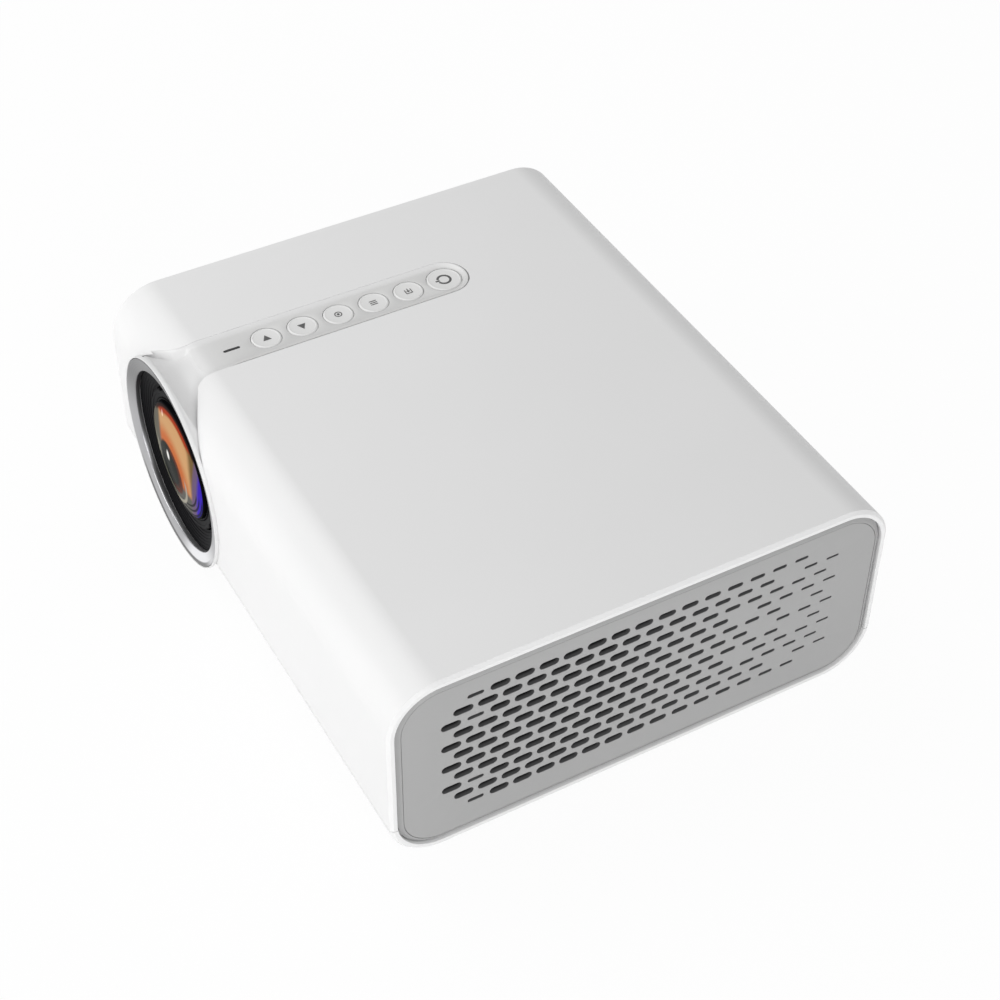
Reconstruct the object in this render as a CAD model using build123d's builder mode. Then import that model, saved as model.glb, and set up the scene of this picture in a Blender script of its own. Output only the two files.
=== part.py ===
"""Small video projector with a slim disc player in its rear face.

Lengths are in millimetres. +X runs along the body towards the vented end seen from the front right, -Y is the
lens side and +Z is up. The origin is under the middle of the object, on the surface that it stands on.
"""
from build123d import *
import os
from math import asin, degrees, sqrt

os.makedirs("parts", exist_ok=True)

# ---------------------------------------------------------------- driving dimensions
# Casing
body_length = 240.0
body_depth = 200.0
body_height = 84.0
corner_radius = 20.0
casing_wall = 2.7
parting_height = 18.0
parting_gap = 0.3
tongue_height = 2.5
tongue_wall = 1.2
fit_gap = 0.3
close_gap = 0.15
running_gap = 0.08

# Feet
foot_height = 3.6
foot_radius = 8.0
foot_recess = 0.8
foot_inset_x = 22.0
foot_inset_y = 32.0

# End grilles
panel_recess = 0.3
panel_thickness = 2.4
panel_chamfer = 0.6
seat_rim_depth = 2.0
seat_rim_height = 1.6
slot_columns = 34
slot_half_rows = 11
slot_pitch_y = 4.625
slot_pitch_z = 5.396
slot_first_y = -76.4
slot_top_drop = 13.06
slot_length = 7.5
slot_height = 3.1
last_slot_length = 5.2
last_slot_height = 0.9
full_size_columns = 14
thin_slot_length = 6.2
thin_slot_height = 1.6
thin_slots = {(2, 0), (2, 2), (2, 8), (2, 10)}
blank_slots = {(0, 0), (0, 10), (32, 0), (32, 10), (29, 1), (25, 3), (30, 4), (27, 5), (30, 6), (25, 7), (29, 9)}
left_slot_columns = 12
left_slot_pitch_y = 12.0
left_slot_length = 9.5

# Lens hood and its valley
lens_side_share = 0.446
lens_side_offset = 10.68
lens_drop = 1.8
hood_reach = 1.5
lip_width = 0.7
porthole_step = 0.8
trim_outer_radius = 42.5
trim_width = 5.5
trim_overlap = 0.6
trim_thickness = 0.95
trim_slope = 1.2
valley_tube_radius = 9.2
valley_reach = 5.1
valley_drop = 10.0

# Control strip
strip_offset = 2.5
strip_half_width = 10.1
strip_recess = 0.9
strip_flange_extra = 2.9
strip_flange_thickness = 1.2
flare_half_width = 21.0
flare_radius = 8.0
key_pitch = 15.2
power_pitch = 15.8
first_key_gap = 23.75
key_radius = 5.9
power_key_radius = 6.95
key_hole_gap = 0.25
key_flange_extra = 1.0
key_flange_thickness = 1.3
key_stem_length = 1.4
key_stem_half = 1.3
switch_plunger = 0.6
switch_body = 2.8
switch_half = 3.0
key_proud = 0.2
key_travel = 0.6
window_gap = 9.45
window_length = 6.7
window_width = 1.2

# Lens
glass_radius = 24.1
barrel_wall = 0.9
ring_wall = 4.0
glass_dome = 3.4
glass_thickness = 8.0
glass_setback = 2.3
focus_travel = 3.0
focus_tube_wall = 2.5
baffle_depth = 12.0

# Light engine, measured back from the lens
engine_start = 37.2
engine_rear_gap = 54.8
engine_fan_gap = 0.8
engine_wall = 2.0
engine_cover_thickness = 1.6
engine_top_gap = 11.4
engine_floor_gap = 3.0
panel_window_gap = 0.3
panel_share = 0.5
panel_glass = 3.0
fresnel_share = 0.61
fresnel_thickness = 2.0
condenser_share = 0.87
condenser_half = 29.0
condenser_radius = 25.0
condenser_dome = 10.0
lamp_half = 25.0
lamp_plate = 1.8
lamp_dome_radius = 11.0
lamp_dome = 4.2
sink_half = 30.0
sink_base = 4.0
sink_depth = 28.0
sink_fins = 12
sink_fin_thickness = 1.2
sink_inset = 4.0

# Fans
fan_size_limit = 60.0
fan_room_gap = 7.8
fan_depth = 15.0
fan_rim = 1.5
fan_hub_radius = 11.0
fan_hub_plate = 2.5
fan_blades = 7
blade_pitch_angle = 40.0
blade_chord = 10.0
blade_thickness = 1.2
exhaust_fan_gap = 36.75

# Disc drive
drive_width = 130.0
drive_height = 12.7
drive_clearance_below = 18.2
drive_end_gap = 1.3
sheet = 1.0
disc_radius = 60.0
well_gap = 0.4
well_depth = 2.0
tray_height = 8.4
tray_wall = 2.0
tray_web = 1.6
tray_travel = 122.0
tray_tail = 1.4
rail_width = 1.8
rail_height = 6.0
bezel_height = 11.2
bezel_gap = 0.3
bezel_setback = 0.3
motor_radius = 11.5
turntable_radius = 13.5
hub_radius = 7.45
shaft_radius = 1.5
sled_width = 13.0
sled_length = 25.0
sled_start = 16.5
sled_travel = 29.0
rod_radius = 1.0
rod_spread = 11.0

# Rear sockets
socket_bay_start = 20.0
socket_bay_length = 96.0
socket_bay_low = 40.4
socket_bay_high = 60.4
socket_plate = 1.65
hdmi_offset = 15.5
usb_offsets = (37.0, 57.0)
jack_offsets = (75.0, 86.0)
jack_radius = 1.8
inlet_offset = 12.2
inlet_height = 30.4
inlet_width = 22.0
inlet_tall = 12.0
inlet_recess_width = 17.4
inlet_recess_tall = 8.8
inlet_recess_depth = 12.0
inlet_pin_spread = 8.6
inlet_pin_radius = 1.2

# Fasteners and base sockets
screw_radius = 1.45
screw_head_radius = 2.8
screw_head_height = 2.2
boss_radius = 4.0
screw_length = 26.0
levelling_gap = 8.0
levelling_inset = 33.25
levelling_screw_radius = 3.0
levelling_pad_radius = 9.0
levelling_pad_height = 2.7
levelling_lift = 0.6
tripod_radius = 3.175
tripod_depth = 8.0
tripod_insert_wall = 1.7

# Boards and what they carry
board_thickness = 1.6
board_depth = 118.0
board_left_inset = 8.0
board_right_inset = 18.0
board_lift = 6.8
processor_size = 28.0
processor_fins = 7
supply_width = 94.0
supply_depth = 44.0
supply_inset = 10.0
supply_gap = 5.3
supply_lift = 5.7
transformer_width = 30.0
transformer_depth = 26.0
transformer_flange = 8.0
transformer_height = 27.0
large_capacitor = (8.0, 30.0)
small_capacitor = (5.0, 20.0)
speaker_length = 70.0
speaker_height = 36.0
speaker_depth = 14.0

# ---------------------------------------------------------------- places worked out from them
x_end = body_length / 2
y_lip = -(body_depth + hood_reach) / 2
y_front = y_lip + hood_reach
y_rear = y_front + body_depth
y_mid = (y_front + y_rear) / 2
y_front_in = y_front + casing_wall
y_rear_in = y_rear - casing_wall
z_base = foot_height
z_top = z_base + body_height
z_mid = (z_base + z_top) / 2
z_part = z_base + parting_height
z_floor = z_base + casing_wall
z_roof = z_top - casing_wall
y_corner = y_front + corner_radius
x_panel_out = x_end - panel_recess
x_panel_in = x_panel_out - panel_thickness
x_rim = x_panel_in - seat_rim_depth

lens_x = -lens_side_offset - lens_side_share * x_end
lens_z = z_mid - lens_drop
lip_radius = trim_outer_radius + lip_width
porthole_radius = lip_radius - porthole_step
trim_inner_radius = trim_outer_radius - trim_width
hood_bore_radius = trim_inner_radius + trim_overlap
valley_centre_radius = lip_radius + valley_reach
lens_axis = Axis((lens_x, 0, lens_z), (0, 1, 0))
lens_half_plane = Plane(origin=(lens_x, 0, lens_z), x_dir=(1, 0, 0), z_dir=(0, 0, 1))
hood_radius = porthole_radius - fit_gap
y_valley = y_front + sqrt(valley_tube_radius**2 - (valley_centre_radius - lip_radius) ** 2)
y_trim_seat = y_lip + trim_thickness + 0.05

z_strip = z_top - strip_recess
strip_x = lens_x - strip_offset
window_y = y_corner + window_gap
key_rows = [y_corner + first_key_gap + key_pitch * row for row in range(5)]
power_y = key_rows[-1] + power_pitch
z_key_flange = z_roof - fit_gap
z_key_low = z_key_flange - key_flange_thickness
z_stem = z_key_low - key_stem_length
z_switch_top = z_stem - key_travel - fit_gap
z_keypad = z_switch_top - switch_plunger - switch_body

barrel_radius = glass_radius + barrel_wall
ring_inner_radius = barrel_radius + running_gap
ring_outer_radius = barrel_radius + ring_wall
y_glass = y_lip + glass_setback
y_glass_rim = y_glass + glass_dome
y_ring = y_glass_rim - 1.0
y_engine = y_front + engine_start
y_engine_back = y_rear - engine_rear_gap
engine_length = y_engine_back - y_engine
z_engine_low = z_floor + engine_floor_gap
z_engine_top = z_roof - engine_top_gap

x_fan_face = x_panel_in - fit_gap
engine_half = lens_x + x_fan_face - fan_depth - engine_fan_gap
engine_x0 = lens_x - engine_half
engine_x1 = lens_x + engine_half
drive_right = x_rim - drive_end_gap
drive_left = drive_right - drive_width
drive_mid_x = (drive_left + drive_right) / 2
z_drive = z_floor + drive_clearance_below
z_drive_top = z_drive + drive_height
y_tray_front = y_rear_in - 1.05
y_tray_back = y_tray_front - tray_travel - tray_tail
y_drive_front = y_tray_front - fit_gap
y_drive_back = y_tray_back - fit_gap - 2 * sheet
well_radius = disc_radius + well_gap
disc_y = y_tray_front - well_radius - 1.4
z_tray = z_drive + sheet + 0.7
z_tray_top = z_tray + tray_height
z_well = z_tray_top - well_depth
rail_gap = 0.3
tray_half_width = drive_width / 2 - sheet - rail_width - 2 * rail_gap
bezel_half_width = drive_width / 2 - 0.9
z_bezel = z_drive + 0.8
z_board = z_drive_top + board_lift
z_board_top = z_board + board_thickness
board_x0 = drive_left + board_left_inset
board_x1 = drive_right - board_right_inset
board_y1 = y_rear_in - socket_plate - 0.2
board_y0 = board_y1 - board_depth
board_posts = [(x, y) for x in (board_x0 + 8, board_x1 - 8) for y in (board_y0 + 8, board_y1 - 22)]
fan_size = min(fan_size_limit, y_drive_back - y_front_in - fan_room_gap)
fan_bore_radius = fan_size / 2 - fan_rim
intake_fan_y = y_drive_back - fan_size / 2 - 3.3
exhaust_fan_y = y_rear - exhaust_fan_gap
psu_x0 = drive_left + supply_inset
psu_x1 = psu_x0 + supply_width
psu_y1 = y_drive_back - supply_gap
psu_y0 = psu_y1 - supply_depth
z_psu = z_floor + supply_lift
z_psu_top = z_psu + board_thickness
psu_posts = [(x, y) for x in (psu_x0 + 4, psu_x1 - 4) for y in (psu_y0 + 4, psu_y1 - 4)]
levelling_x = psu_x0 - levelling_gap
levelling_y = y_front + levelling_inset
inlet_x = lens_x + inlet_offset
socket_bay_x0 = drive_left + socket_bay_start
socket_bay_x1 = socket_bay_x0 + socket_bay_length
case_screw_spots = [
    (-x_end + 28, y_rear - 16.75),
    (drive_left - 7, y_rear - 16.75),
    (psu_x0 - 6, y_front + 15.25),
    (psu_x1 + 5, y_front + 15.25),
]
foot_spots = [
    (side_x * (x_end - foot_inset_x), y_mid + side_y * (body_depth / 2 - foot_inset_y))
    for side_x in (-1, 1)
    for side_y in (-1, 1)
]
drive_posts = [
    (x, y) for x in (drive_left + 8, drive_right - 8) for y in (y_drive_back + 8, y_drive_front - 8)
]


# ---------------------------------------------------------------- shared shapes
def casing_section(inset, mode=Mode.ADD):
    """Rounded end outline of the casing, drawn smaller by inset on each side."""
    with Locations((y_mid, z_mid)):
        RectangleRounded(
            body_depth - 2 * inset, body_height - 2 * inset, corner_radius - inset, mode=mode
        )


def block(x0, x1, y0, y1, z0, z1, mode=Mode.ADD):
    """Straight block between two corners."""
    with Locations(((x0 + x1) / 2, (y0 + y1) / 2, (z0 + z1) / 2)):
        Box(x1 - x0, y1 - y0, z1 - z0, mode=mode)


def post(x, y, z0, z1, radius, mode=Mode.ADD):
    """Upright round post or hole."""
    with Locations((x, y, (z0 + z1) / 2)):
        Cylinder(radius, z1 - z0, mode=mode)


def pillar(x, y, z0, z1, half, mode=Mode.ADD):
    """Upright square post."""
    block(x - half, x + half, y - half, y + half, z0, z1, mode)


def front_disc(x, z, y0, y1, radius, mode=Mode.ADD):
    """Round post or hole along Y, from y0 back to y1."""
    with Locations(Location((x, (y0 + y1) / 2, z), (90, 0, 0))):
        Cylinder(radius, y1 - y0, mode=mode)


def turned(points, mode=Mode.ADD):
    """Ring or disc about the lens axis, from a closed outline of (radius, y) points."""
    with BuildSketch(lens_half_plane) as profile:
        with BuildLine():
            Polyline(*points, close=True)
        make_face()
    revolve(profile.sketch, axis=lens_axis, mode=mode)


def strip_outline(z, side_gap, last_y=body_depth):
    """Key strip seen from above at height z: round about the power key, flared at the hood, cut at last_y."""
    half = strip_half_width - side_gap
    flare = flare_half_width - side_gap
    y_neck = y_corner - 8.6
    y_mouth = y_neck - (flare - half) * 0.62
    with BuildSketch(Plane.XY.offset(z)) as outline:
        with BuildLine():
            Line((strip_x + half, power_y), (strip_x + half, y_neck))
            Line((strip_x + half, y_neck), (strip_x + flare, y_mouth))
            Line((strip_x + flare, y_mouth), (strip_x - flare, y_mouth))
            Line((strip_x - flare, y_mouth), (strip_x - half, y_neck))
            Line((strip_x - half, y_neck), (strip_x - half, power_y))
            ThreePointArc((strip_x - half, power_y), (strip_x, power_y + half), (strip_x + half, power_y))
        make_face()
        fillet(outline.vertices().group_by(Axis.Y)[1], flare_radius)
        with Locations((strip_x, last_y + body_depth)):
            Rectangle(4 * flare, 2 * body_depth, mode=Mode.SUBTRACT)
    return outline.sketch


def slot_outline(length, height):
    """Vent slot longest along Y, with cut corners unless it is thin."""
    if height < thin_slot_height:
        Rectangle(length, height)
        return
    cut_long = 0.42 * height
    cut_high = 0.28 * height
    half_long = length / 2
    half_high = height / 2
    Polygon(
        (half_long, half_high - cut_high),
        (half_long - cut_long, half_high),
        (cut_long - half_long, half_high),
        (-half_long, half_high - cut_high),
        (-half_long, cut_high - half_high),
        (cut_long - half_long, -half_high),
        (half_long - cut_long, -half_high),
        (half_long, cut_high - half_high),
    )


# ---------------------------------------------------------------- casing
with BuildPart() as upper_shell:
    with BuildSketch(Plane.YZ.offset(-x_end)):
        casing_section(0)
        casing_section(casing_wall, mode=Mode.SUBTRACT)
    extrude(amount=body_length)
    for x_seat in (x_rim, -x_panel_in):
        with BuildSketch(Plane.YZ.offset(x_seat)):
            casing_section(casing_wall / 2)
            casing_section(casing_wall + seat_rim_height, mode=Mode.SUBTRACT)
        extrude(amount=seat_rim_depth)
    for x, y in case_screw_spots:
        post(x, y, z_part, z_roof + casing_wall, boss_radius)
    for x, y in board_posts:
        pillar(x, y, z_board_top, z_roof + casing_wall / 2, 2.5)
    with BuildSketch(Plane.YZ.offset(-x_end)):
        casing_section(0)
    extrude(amount=body_length, mode=Mode.INTERSECT)
    block(-x_end, x_end, y_front, y_rear, z_base, z_part, mode=Mode.SUBTRACT)
    for x, y in case_screw_spots:
        post(x, y, z_part, z_base + screw_length, screw_radius + 0.05, mode=Mode.SUBTRACT)
    # porthole and key slot
    front_disc(lens_x, lens_z, y_front - 1, y_corner, porthole_radius, mode=Mode.SUBTRACT)
    extrude(strip_outline(z_roof - 7, 0), amount=casing_wall + 8, mode=Mode.SUBTRACT)
    # rear openings for the socket bay, the power inlet and the disc tray
    block(
        socket_bay_x0, socket_bay_x1, y_rear_in - 1, y_rear + 1,
        z_base + socket_bay_low, z_base + socket_bay_high, mode=Mode.SUBTRACT,
    )
    with BuildSketch(Plane.XZ.offset(-y_rear - 1)):
        with Locations((inlet_x, z_base + inlet_height)):
            RectangleRounded(inlet_width + 2 * close_gap, inlet_tall + 2 * close_gap, 3 + close_gap)
    extrude(amount=casing_wall + 2, mode=Mode.SUBTRACT)
    block(
        drive_mid_x - bezel_half_width - bezel_gap, drive_mid_x + bezel_half_width + bezel_gap,
        y_rear_in - 1, y_rear + 1,
        z_bezel - bezel_gap, z_bezel + bezel_height + bezel_gap, mode=Mode.SUBTRACT,
    )
upper_shell.part.label = "upper_shell"
export_step(upper_shell.part, "parts/upper_shell.step")

with BuildPart() as bottom_cover:
    with BuildSketch(Plane.YZ.offset(-x_end)):
        casing_section(0)
        casing_section(casing_wall, mode=Mode.SUBTRACT)
    extrude(amount=body_length)
    for x_seat in (x_rim, -x_panel_in):
        with BuildSketch(Plane.YZ.offset(x_seat)):
            casing_section(casing_wall / 2)
            casing_section(casing_wall + seat_rim_height, mode=Mode.SUBTRACT)
        extrude(amount=seat_rim_depth)
    block(-x_end, x_end, y_front, y_rear, z_part - parting_gap, z_top, mode=Mode.SUBTRACT)
    # tongue that locates the upper shell, on a root in the wall below it
    z_tongue = z_part - parting_gap
    tongue_inner = casing_wall + close_gap + tongue_wall
    for side, root_y in ((1, y_front), (-1, y_rear)):
        y_a, y_b = sorted((root_y + side * casing_wall / 2, root_y + side * tongue_inner))
        block(-x_rim, x_rim, y_a, y_b, z_tongue - tongue_height, z_tongue)
        y_a, y_b = sorted((root_y + side * (casing_wall + close_gap), root_y + side * tongue_inner))
        block(-x_rim, x_rim, y_a, y_b, z_tongue, z_tongue + tongue_height)
    # posts and pads that carry what is inside
    for x, y in case_screw_spots:
        post(x, y, z_base + 1, z_part - parting_gap, boss_radius)
    for x, y in drive_posts:
        pillar(x, y, z_base + 1, z_drive, 3.5)
    for x, y in psu_posts:
        pillar(x, y, z_base + 1, z_psu, 2.5)
    for x in (engine_x0 + 8, engine_x1 - 8):
        for y in (y_engine + 10, y_engine_back - 10):
            pillar(x, y, z_base + 1, z_engine_low, 5.0)
    for x_low, fan_y in ((x_fan_face - fan_depth + 2, intake_fan_y), (2 - x_fan_face, exhaust_fan_y)):
        for offset_y in (-18.0, 18.0):
            block(
                x_low, x_low + fan_depth - 4, fan_y + offset_y - 2, fan_y + offset_y + 2,
                z_base + 1, z_mid - fan_size / 2,
            )
    post(levelling_x, levelling_y, z_base + 1, z_floor + 10.7, levelling_screw_radius + 2.5)
    post(0, y_mid, z_base + 1, z_base + tripod_depth + 2.4, tripod_radius + tripod_insert_wall + 2.4)
    with BuildSketch(Plane.YZ.offset(-x_end)):
        casing_section(0)
    extrude(amount=body_length, mode=Mode.INTERSECT)
    # holes from below
    for x, y in case_screw_spots:
        post(x, y, z_base, z_part, screw_radius + 0.25, mode=Mode.SUBTRACT)
        post(x, y, z_base, z_base + 0.6 + screw_head_height, screw_head_radius + fit_gap, mode=Mode.SUBTRACT)
    for x, y in foot_spots:
        post(x, y, z_base, z_base + foot_recess, foot_radius + 0.2, mode=Mode.SUBTRACT)
    post(
        levelling_x, levelling_y, z_base, z_floor + 10.7,
        levelling_screw_radius + running_gap, mode=Mode.SUBTRACT,
    )
    post(
        0, y_mid, z_base, z_base + tripod_depth + 1,
        tripod_radius + tripod_insert_wall, mode=Mode.SUBTRACT,
    )
    front_disc(lens_x, lens_z, y_front - 1, y_corner, porthole_radius, mode=Mode.SUBTRACT)
bottom_cover.part.label = "bottom_cover"
export_step(bottom_cover.part, "parts/bottom_cover.step")


def slot_size(column, half_row):
    """Slots keep one size towards the lens, then shrink steadily towards the rear."""
    if (column, half_row) in thin_slots:
        return thin_slot_length, thin_slot_height
    share = max(0, column - full_size_columns + 1) / (slot_columns - full_size_columns)
    length = slot_length + (last_slot_length - slot_length) * share
    height = slot_height + (last_slot_height - slot_height) * share
    return length, height


with BuildPart() as right_grille:
    with BuildSketch(Plane.YZ.offset(x_panel_in)):
        casing_section(casing_wall + fit_gap)
    extrude(amount=panel_thickness)
    chamfer(faces().sort_by(Axis.X)[-1].edges(), panel_chamfer)
    with BuildSketch(Plane.YZ.offset(x_panel_in)) as right_slots:
        for column in range(slot_columns):
            spots = {}
            for half_row in range(column % 2, slot_half_rows, 2):
                if (column, half_row) not in blank_slots:
                    place = (
                        y_mid + slot_first_y + slot_pitch_y * column,
                        z_top - slot_top_drop - slot_pitch_z * half_row,
                    )
                    spots.setdefault(slot_size(column, half_row), []).append(place)
            for (length, height), places in spots.items():
                with Locations(*places):
                    slot_outline(length, height)
    extrude(amount=panel_thickness, mode=Mode.SUBTRACT)
right_grille.part.label = "right_grille"
export_step(right_grille.part, "parts/right_grille.step")

with BuildPart() as left_grille:
    with BuildSketch(Plane.YZ.offset(-x_panel_out)):
        casing_section(casing_wall + fit_gap)
    extrude(amount=panel_thickness)
    chamfer(faces().sort_by(Axis.X)[0].edges(), panel_chamfer)
    with BuildSketch(Plane.YZ.offset(-x_panel_out)) as left_slots:
        for column in range(left_slot_columns):
            places = [
                (
                    y_mid + left_slot_pitch_y * (column - (left_slot_columns - 1) / 2),
                    z_top - slot_top_drop - slot_pitch_z * half_row,
                )
                for half_row in range(column % 2, slot_half_rows, 2)
            ]
            with Locations(*places):
                slot_outline(left_slot_length, slot_height)
    extrude(amount=panel_thickness, mode=Mode.SUBTRACT)
left_grille.part.label = "left_grille"
export_step(left_grille.part, "parts/left_grille.step")

z_hood_low = z_base + 0.2
with BuildPart() as lens_hood:
    # key strip, and its flared foot that fills the space above the barrel, a little under the casing's surface
    extrude(strip_outline(z_roof, fit_gap), amount=casing_wall)
    extrude(strip_outline(z_roof - 7, fit_gap, y_corner), amount=casing_wall + 7)
    with BuildSketch(Plane.YZ.offset(-x_end)):
        casing_section(strip_recess)
    extrude(amount=body_length, mode=Mode.INTERSECT)
    # barrel, which stands out of the casing's rounded edge and stops flat under the body
    with BuildSketch(Plane.XZ.offset(-y_front)):
        with Locations((lens_x, lens_z)):
            Circle(hood_radius)
        with Locations((lens_x, z_hood_low - hood_radius)):
            Rectangle(2 * hood_radius, 2 * hood_radius, mode=Mode.SUBTRACT)
    extrude(amount=y_front - y_corner)
    # flange under the roof
    with BuildSketch(Plane.XY.offset(z_roof - strip_flange_thickness)):
        flange_half = strip_half_width + strip_flange_extra
        flange_end = power_y + strip_half_width + strip_flange_extra
        with Locations((strip_x, (y_corner + flange_end) / 2)):
            Rectangle(2 * flange_half, flange_end - y_corner)
    extrude(amount=strip_flange_thickness)
    # lip, which stands in front of the casing
    front_disc(lens_x, lens_z, y_lip, y_front, lip_radius)
    # valley between the lip and the strip: a ring tube set low, so that it fades out at both sides
    with Locations(Location((lens_x, y_valley, lens_z - valley_drop), (90, 0, 0))):
        Torus(valley_centre_radius + valley_drop, valley_tube_radius, mode=Mode.SUBTRACT)
    front_disc(lens_x, lens_z, y_lip - 1, y_corner + 1, hood_bore_radius, mode=Mode.SUBTRACT)
    seat_radius = trim_outer_radius + 0.2
    turned(
        [
            (0, y_lip - 1),
            (seat_radius, y_lip - 1),
            (seat_radius, y_trim_seat),
            (hood_bore_radius, y_trim_seat + trim_slope),
            (0, y_trim_seat + trim_slope),
        ],
        mode=Mode.SUBTRACT,
    )
    # holes for the keys and the indicator window
    for y in key_rows:
        post(strip_x, y, z_roof - 3, z_top, key_radius + key_hole_gap, mode=Mode.SUBTRACT)
        post(strip_x, y, z_roof - 3, z_roof, key_radius + key_flange_extra + fit_gap, mode=Mode.SUBTRACT)
    post(strip_x, power_y, z_roof - 3, z_top, power_key_radius + key_hole_gap, mode=Mode.SUBTRACT)
    post(
        strip_x, power_y, z_roof - 3, z_roof,
        power_key_radius + key_flange_extra + fit_gap, mode=Mode.SUBTRACT,
    )
    with BuildSketch(Plane.XY.offset(z_roof - 3)):
        with Locations((strip_x, window_y)):
            SlotOverall(window_length + 0.2, window_width + 0.2, rotation=90)
    extrude(amount=8, mode=Mode.SUBTRACT)
    # pegs that carry the key board
    for y in (key_rows[0] + key_pitch / 2, key_rows[3] + key_pitch / 2):
        for side_x in (-9.2, 9.2):
            pillar(strip_x + side_x, y, z_keypad, z_roof - strip_flange_thickness, key_stem_half)
lens_hood.part.label = "lens_hood"
export_step(lens_hood.part, "parts/lens_hood.step")

with BuildPart() as trim_ring:
    turned(
        [
            (trim_outer_radius, y_trim_seat - trim_thickness),
            (trim_outer_radius, y_trim_seat),
            (hood_bore_radius - close_gap, y_trim_seat + trim_slope),
            (hood_bore_radius - close_gap, y_trim_seat + trim_slope + 1.2),
            (trim_inner_radius, y_trim_seat + trim_slope + 1.2),
            (trim_inner_radius, y_trim_seat + trim_slope - trim_thickness),
        ]
    )
trim_ring.part.label = "trim_ring"
export_step(trim_ring.part, "parts/trim_ring.step")

y_baffle = y_trim_seat + trim_slope + 1.4
with BuildPart() as lens_baffle:
    baffle_inner = ring_outer_radius + 0.4
    baffle_outer = hood_bore_radius - close_gap
    step = (baffle_outer - baffle_inner) / 3
    turned(
        [
            (baffle_outer, y_baffle),
            (baffle_outer, y_baffle + baffle_depth),
            (baffle_inner, y_baffle + baffle_depth),
            (baffle_inner, y_baffle + 2.4),
            (baffle_inner + step, y_baffle + 2.0),
            (baffle_inner + step, y_baffle + 1.4),
            (baffle_inner + 2 * step, y_baffle + 1.0),
            (baffle_inner + 2 * step, y_baffle + 0.5),
        ]
    )
lens_baffle.part.label = "lens_baffle"
export_step(lens_baffle.part, "parts/lens_baffle.step")

# ---------------------------------------------------------------- rear sockets
z_bay_low = z_base + socket_bay_low
z_bay_high = z_base + socket_bay_high
y_bay = y_rear_in - socket_plate
z_socket = z_board_top
hdmi_x = socket_bay_x0 + hdmi_offset
usb_xs = [socket_bay_x0 + offset for offset in usb_offsets]
jack_xs = [socket_bay_x0 + offset for offset in jack_offsets]
window_x = hdmi_x
z_window = z_socket + 12.0

with BuildPart() as io_panel:
    block(socket_bay_x0 - 3, socket_bay_x1 + 3, y_bay, y_rear_in, z_bay_low - 2, z_bay_high + 2)
    block(hdmi_x - 7.9, hdmi_x + 7.9, y_bay, y_rear_in, z_socket - 0.3, z_socket + 6.3, mode=Mode.SUBTRACT)
    for x in usb_xs:
        block(x - 7.6, x + 7.6, y_bay, y_rear_in, z_socket - 0.3, z_socket + 7.3, mode=Mode.SUBTRACT)
    for x in jack_xs:
        front_disc(x, z_socket + 4, y_bay, y_rear_in, 4.2, mode=Mode.SUBTRACT)
    block(window_x - 6.3, window_x + 6.3, y_bay, y_rear_in, z_window - 2.8, z_window + 2.8, mode=Mode.SUBTRACT)
io_panel.part.label = "io_panel"
export_step(io_panel.part, "parts/io_panel.step")

with BuildPart() as ir_window:
    block(window_x - 6, window_x + 6, y_bay, y_rear_in + 0.4, z_window - 2.5, z_window + 2.5)
    fillet(edges().filter_by(Axis.Y), 1.2)
    block(window_x - 7.5, window_x + 7.5, y_bay - 1.5, y_bay, z_window - 3.6, z_window + 3.6)
ir_window.part.label = "ir_window"
export_step(ir_window.part, "parts/ir_window.step")

with BuildPart() as hdmi_socket:
    block(hdmi_x - 7.5, hdmi_x + 7.5, y_rear_in - 12, y_rear_in, z_socket, z_socket + 6)
    with BuildSketch(Plane.XZ.offset(-y_rear_in)):
        with BuildLine():
            Polyline(
                (hdmi_x - 7.0, z_socket + 5.4), (hdmi_x + 7.0, z_socket + 5.4),
                (hdmi_x + 7.0, z_socket + 2.4), (hdmi_x + 5.4, z_socket + 0.8),
                (hdmi_x - 5.4, z_socket + 0.8), (hdmi_x - 7.0, z_socket + 2.4), close=True,
            )
        make_face()
    extrude(amount=9, mode=Mode.SUBTRACT)
    block(hdmi_x - 5.2, hdmi_x + 5.2, y_rear_in - 9, y_rear_in - 0.8, z_socket + 2.7, z_socket + 4.0)
hdmi_socket.part.label = "hdmi_socket"
export_step(hdmi_socket.part, "parts/hdmi_socket.step")

with BuildPart() as usb_sockets:
    for x in usb_xs:
        block(x - 7.2, x + 7.2, y_rear_in - 13, y_rear_in, z_socket, z_socket + 7)
        block(x - 6.6, x + 6.6, y_rear_in - 10, y_rear_in, z_socket + 0.9, z_socket + 6.1, mode=Mode.SUBTRACT)
        block(x - 5.6, x + 5.6, y_rear_in - 10, y_rear_in - 1, z_socket + 3.9, z_socket + 5.5)
usb_sockets.part.label = "usb_sockets"
export_step(usb_sockets.part, "parts/usb_sockets.step")

with BuildPart() as av_jacks:
    for x in jack_xs:
        block(x - 4, x + 4, y_rear_in - 13, y_bay - 0.3, z_socket, z_socket + 8)
        front_disc(x, z_socket + 4, y_bay - 0.3, y_rear_in, 3.9)
        front_disc(x, z_socket + 4, y_rear_in - 11, y_rear_in, jack_radius, mode=Mode.SUBTRACT)
av_jacks.part.label = "av_jacks"
export_step(av_jacks.part, "parts/av_jacks.step")

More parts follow.
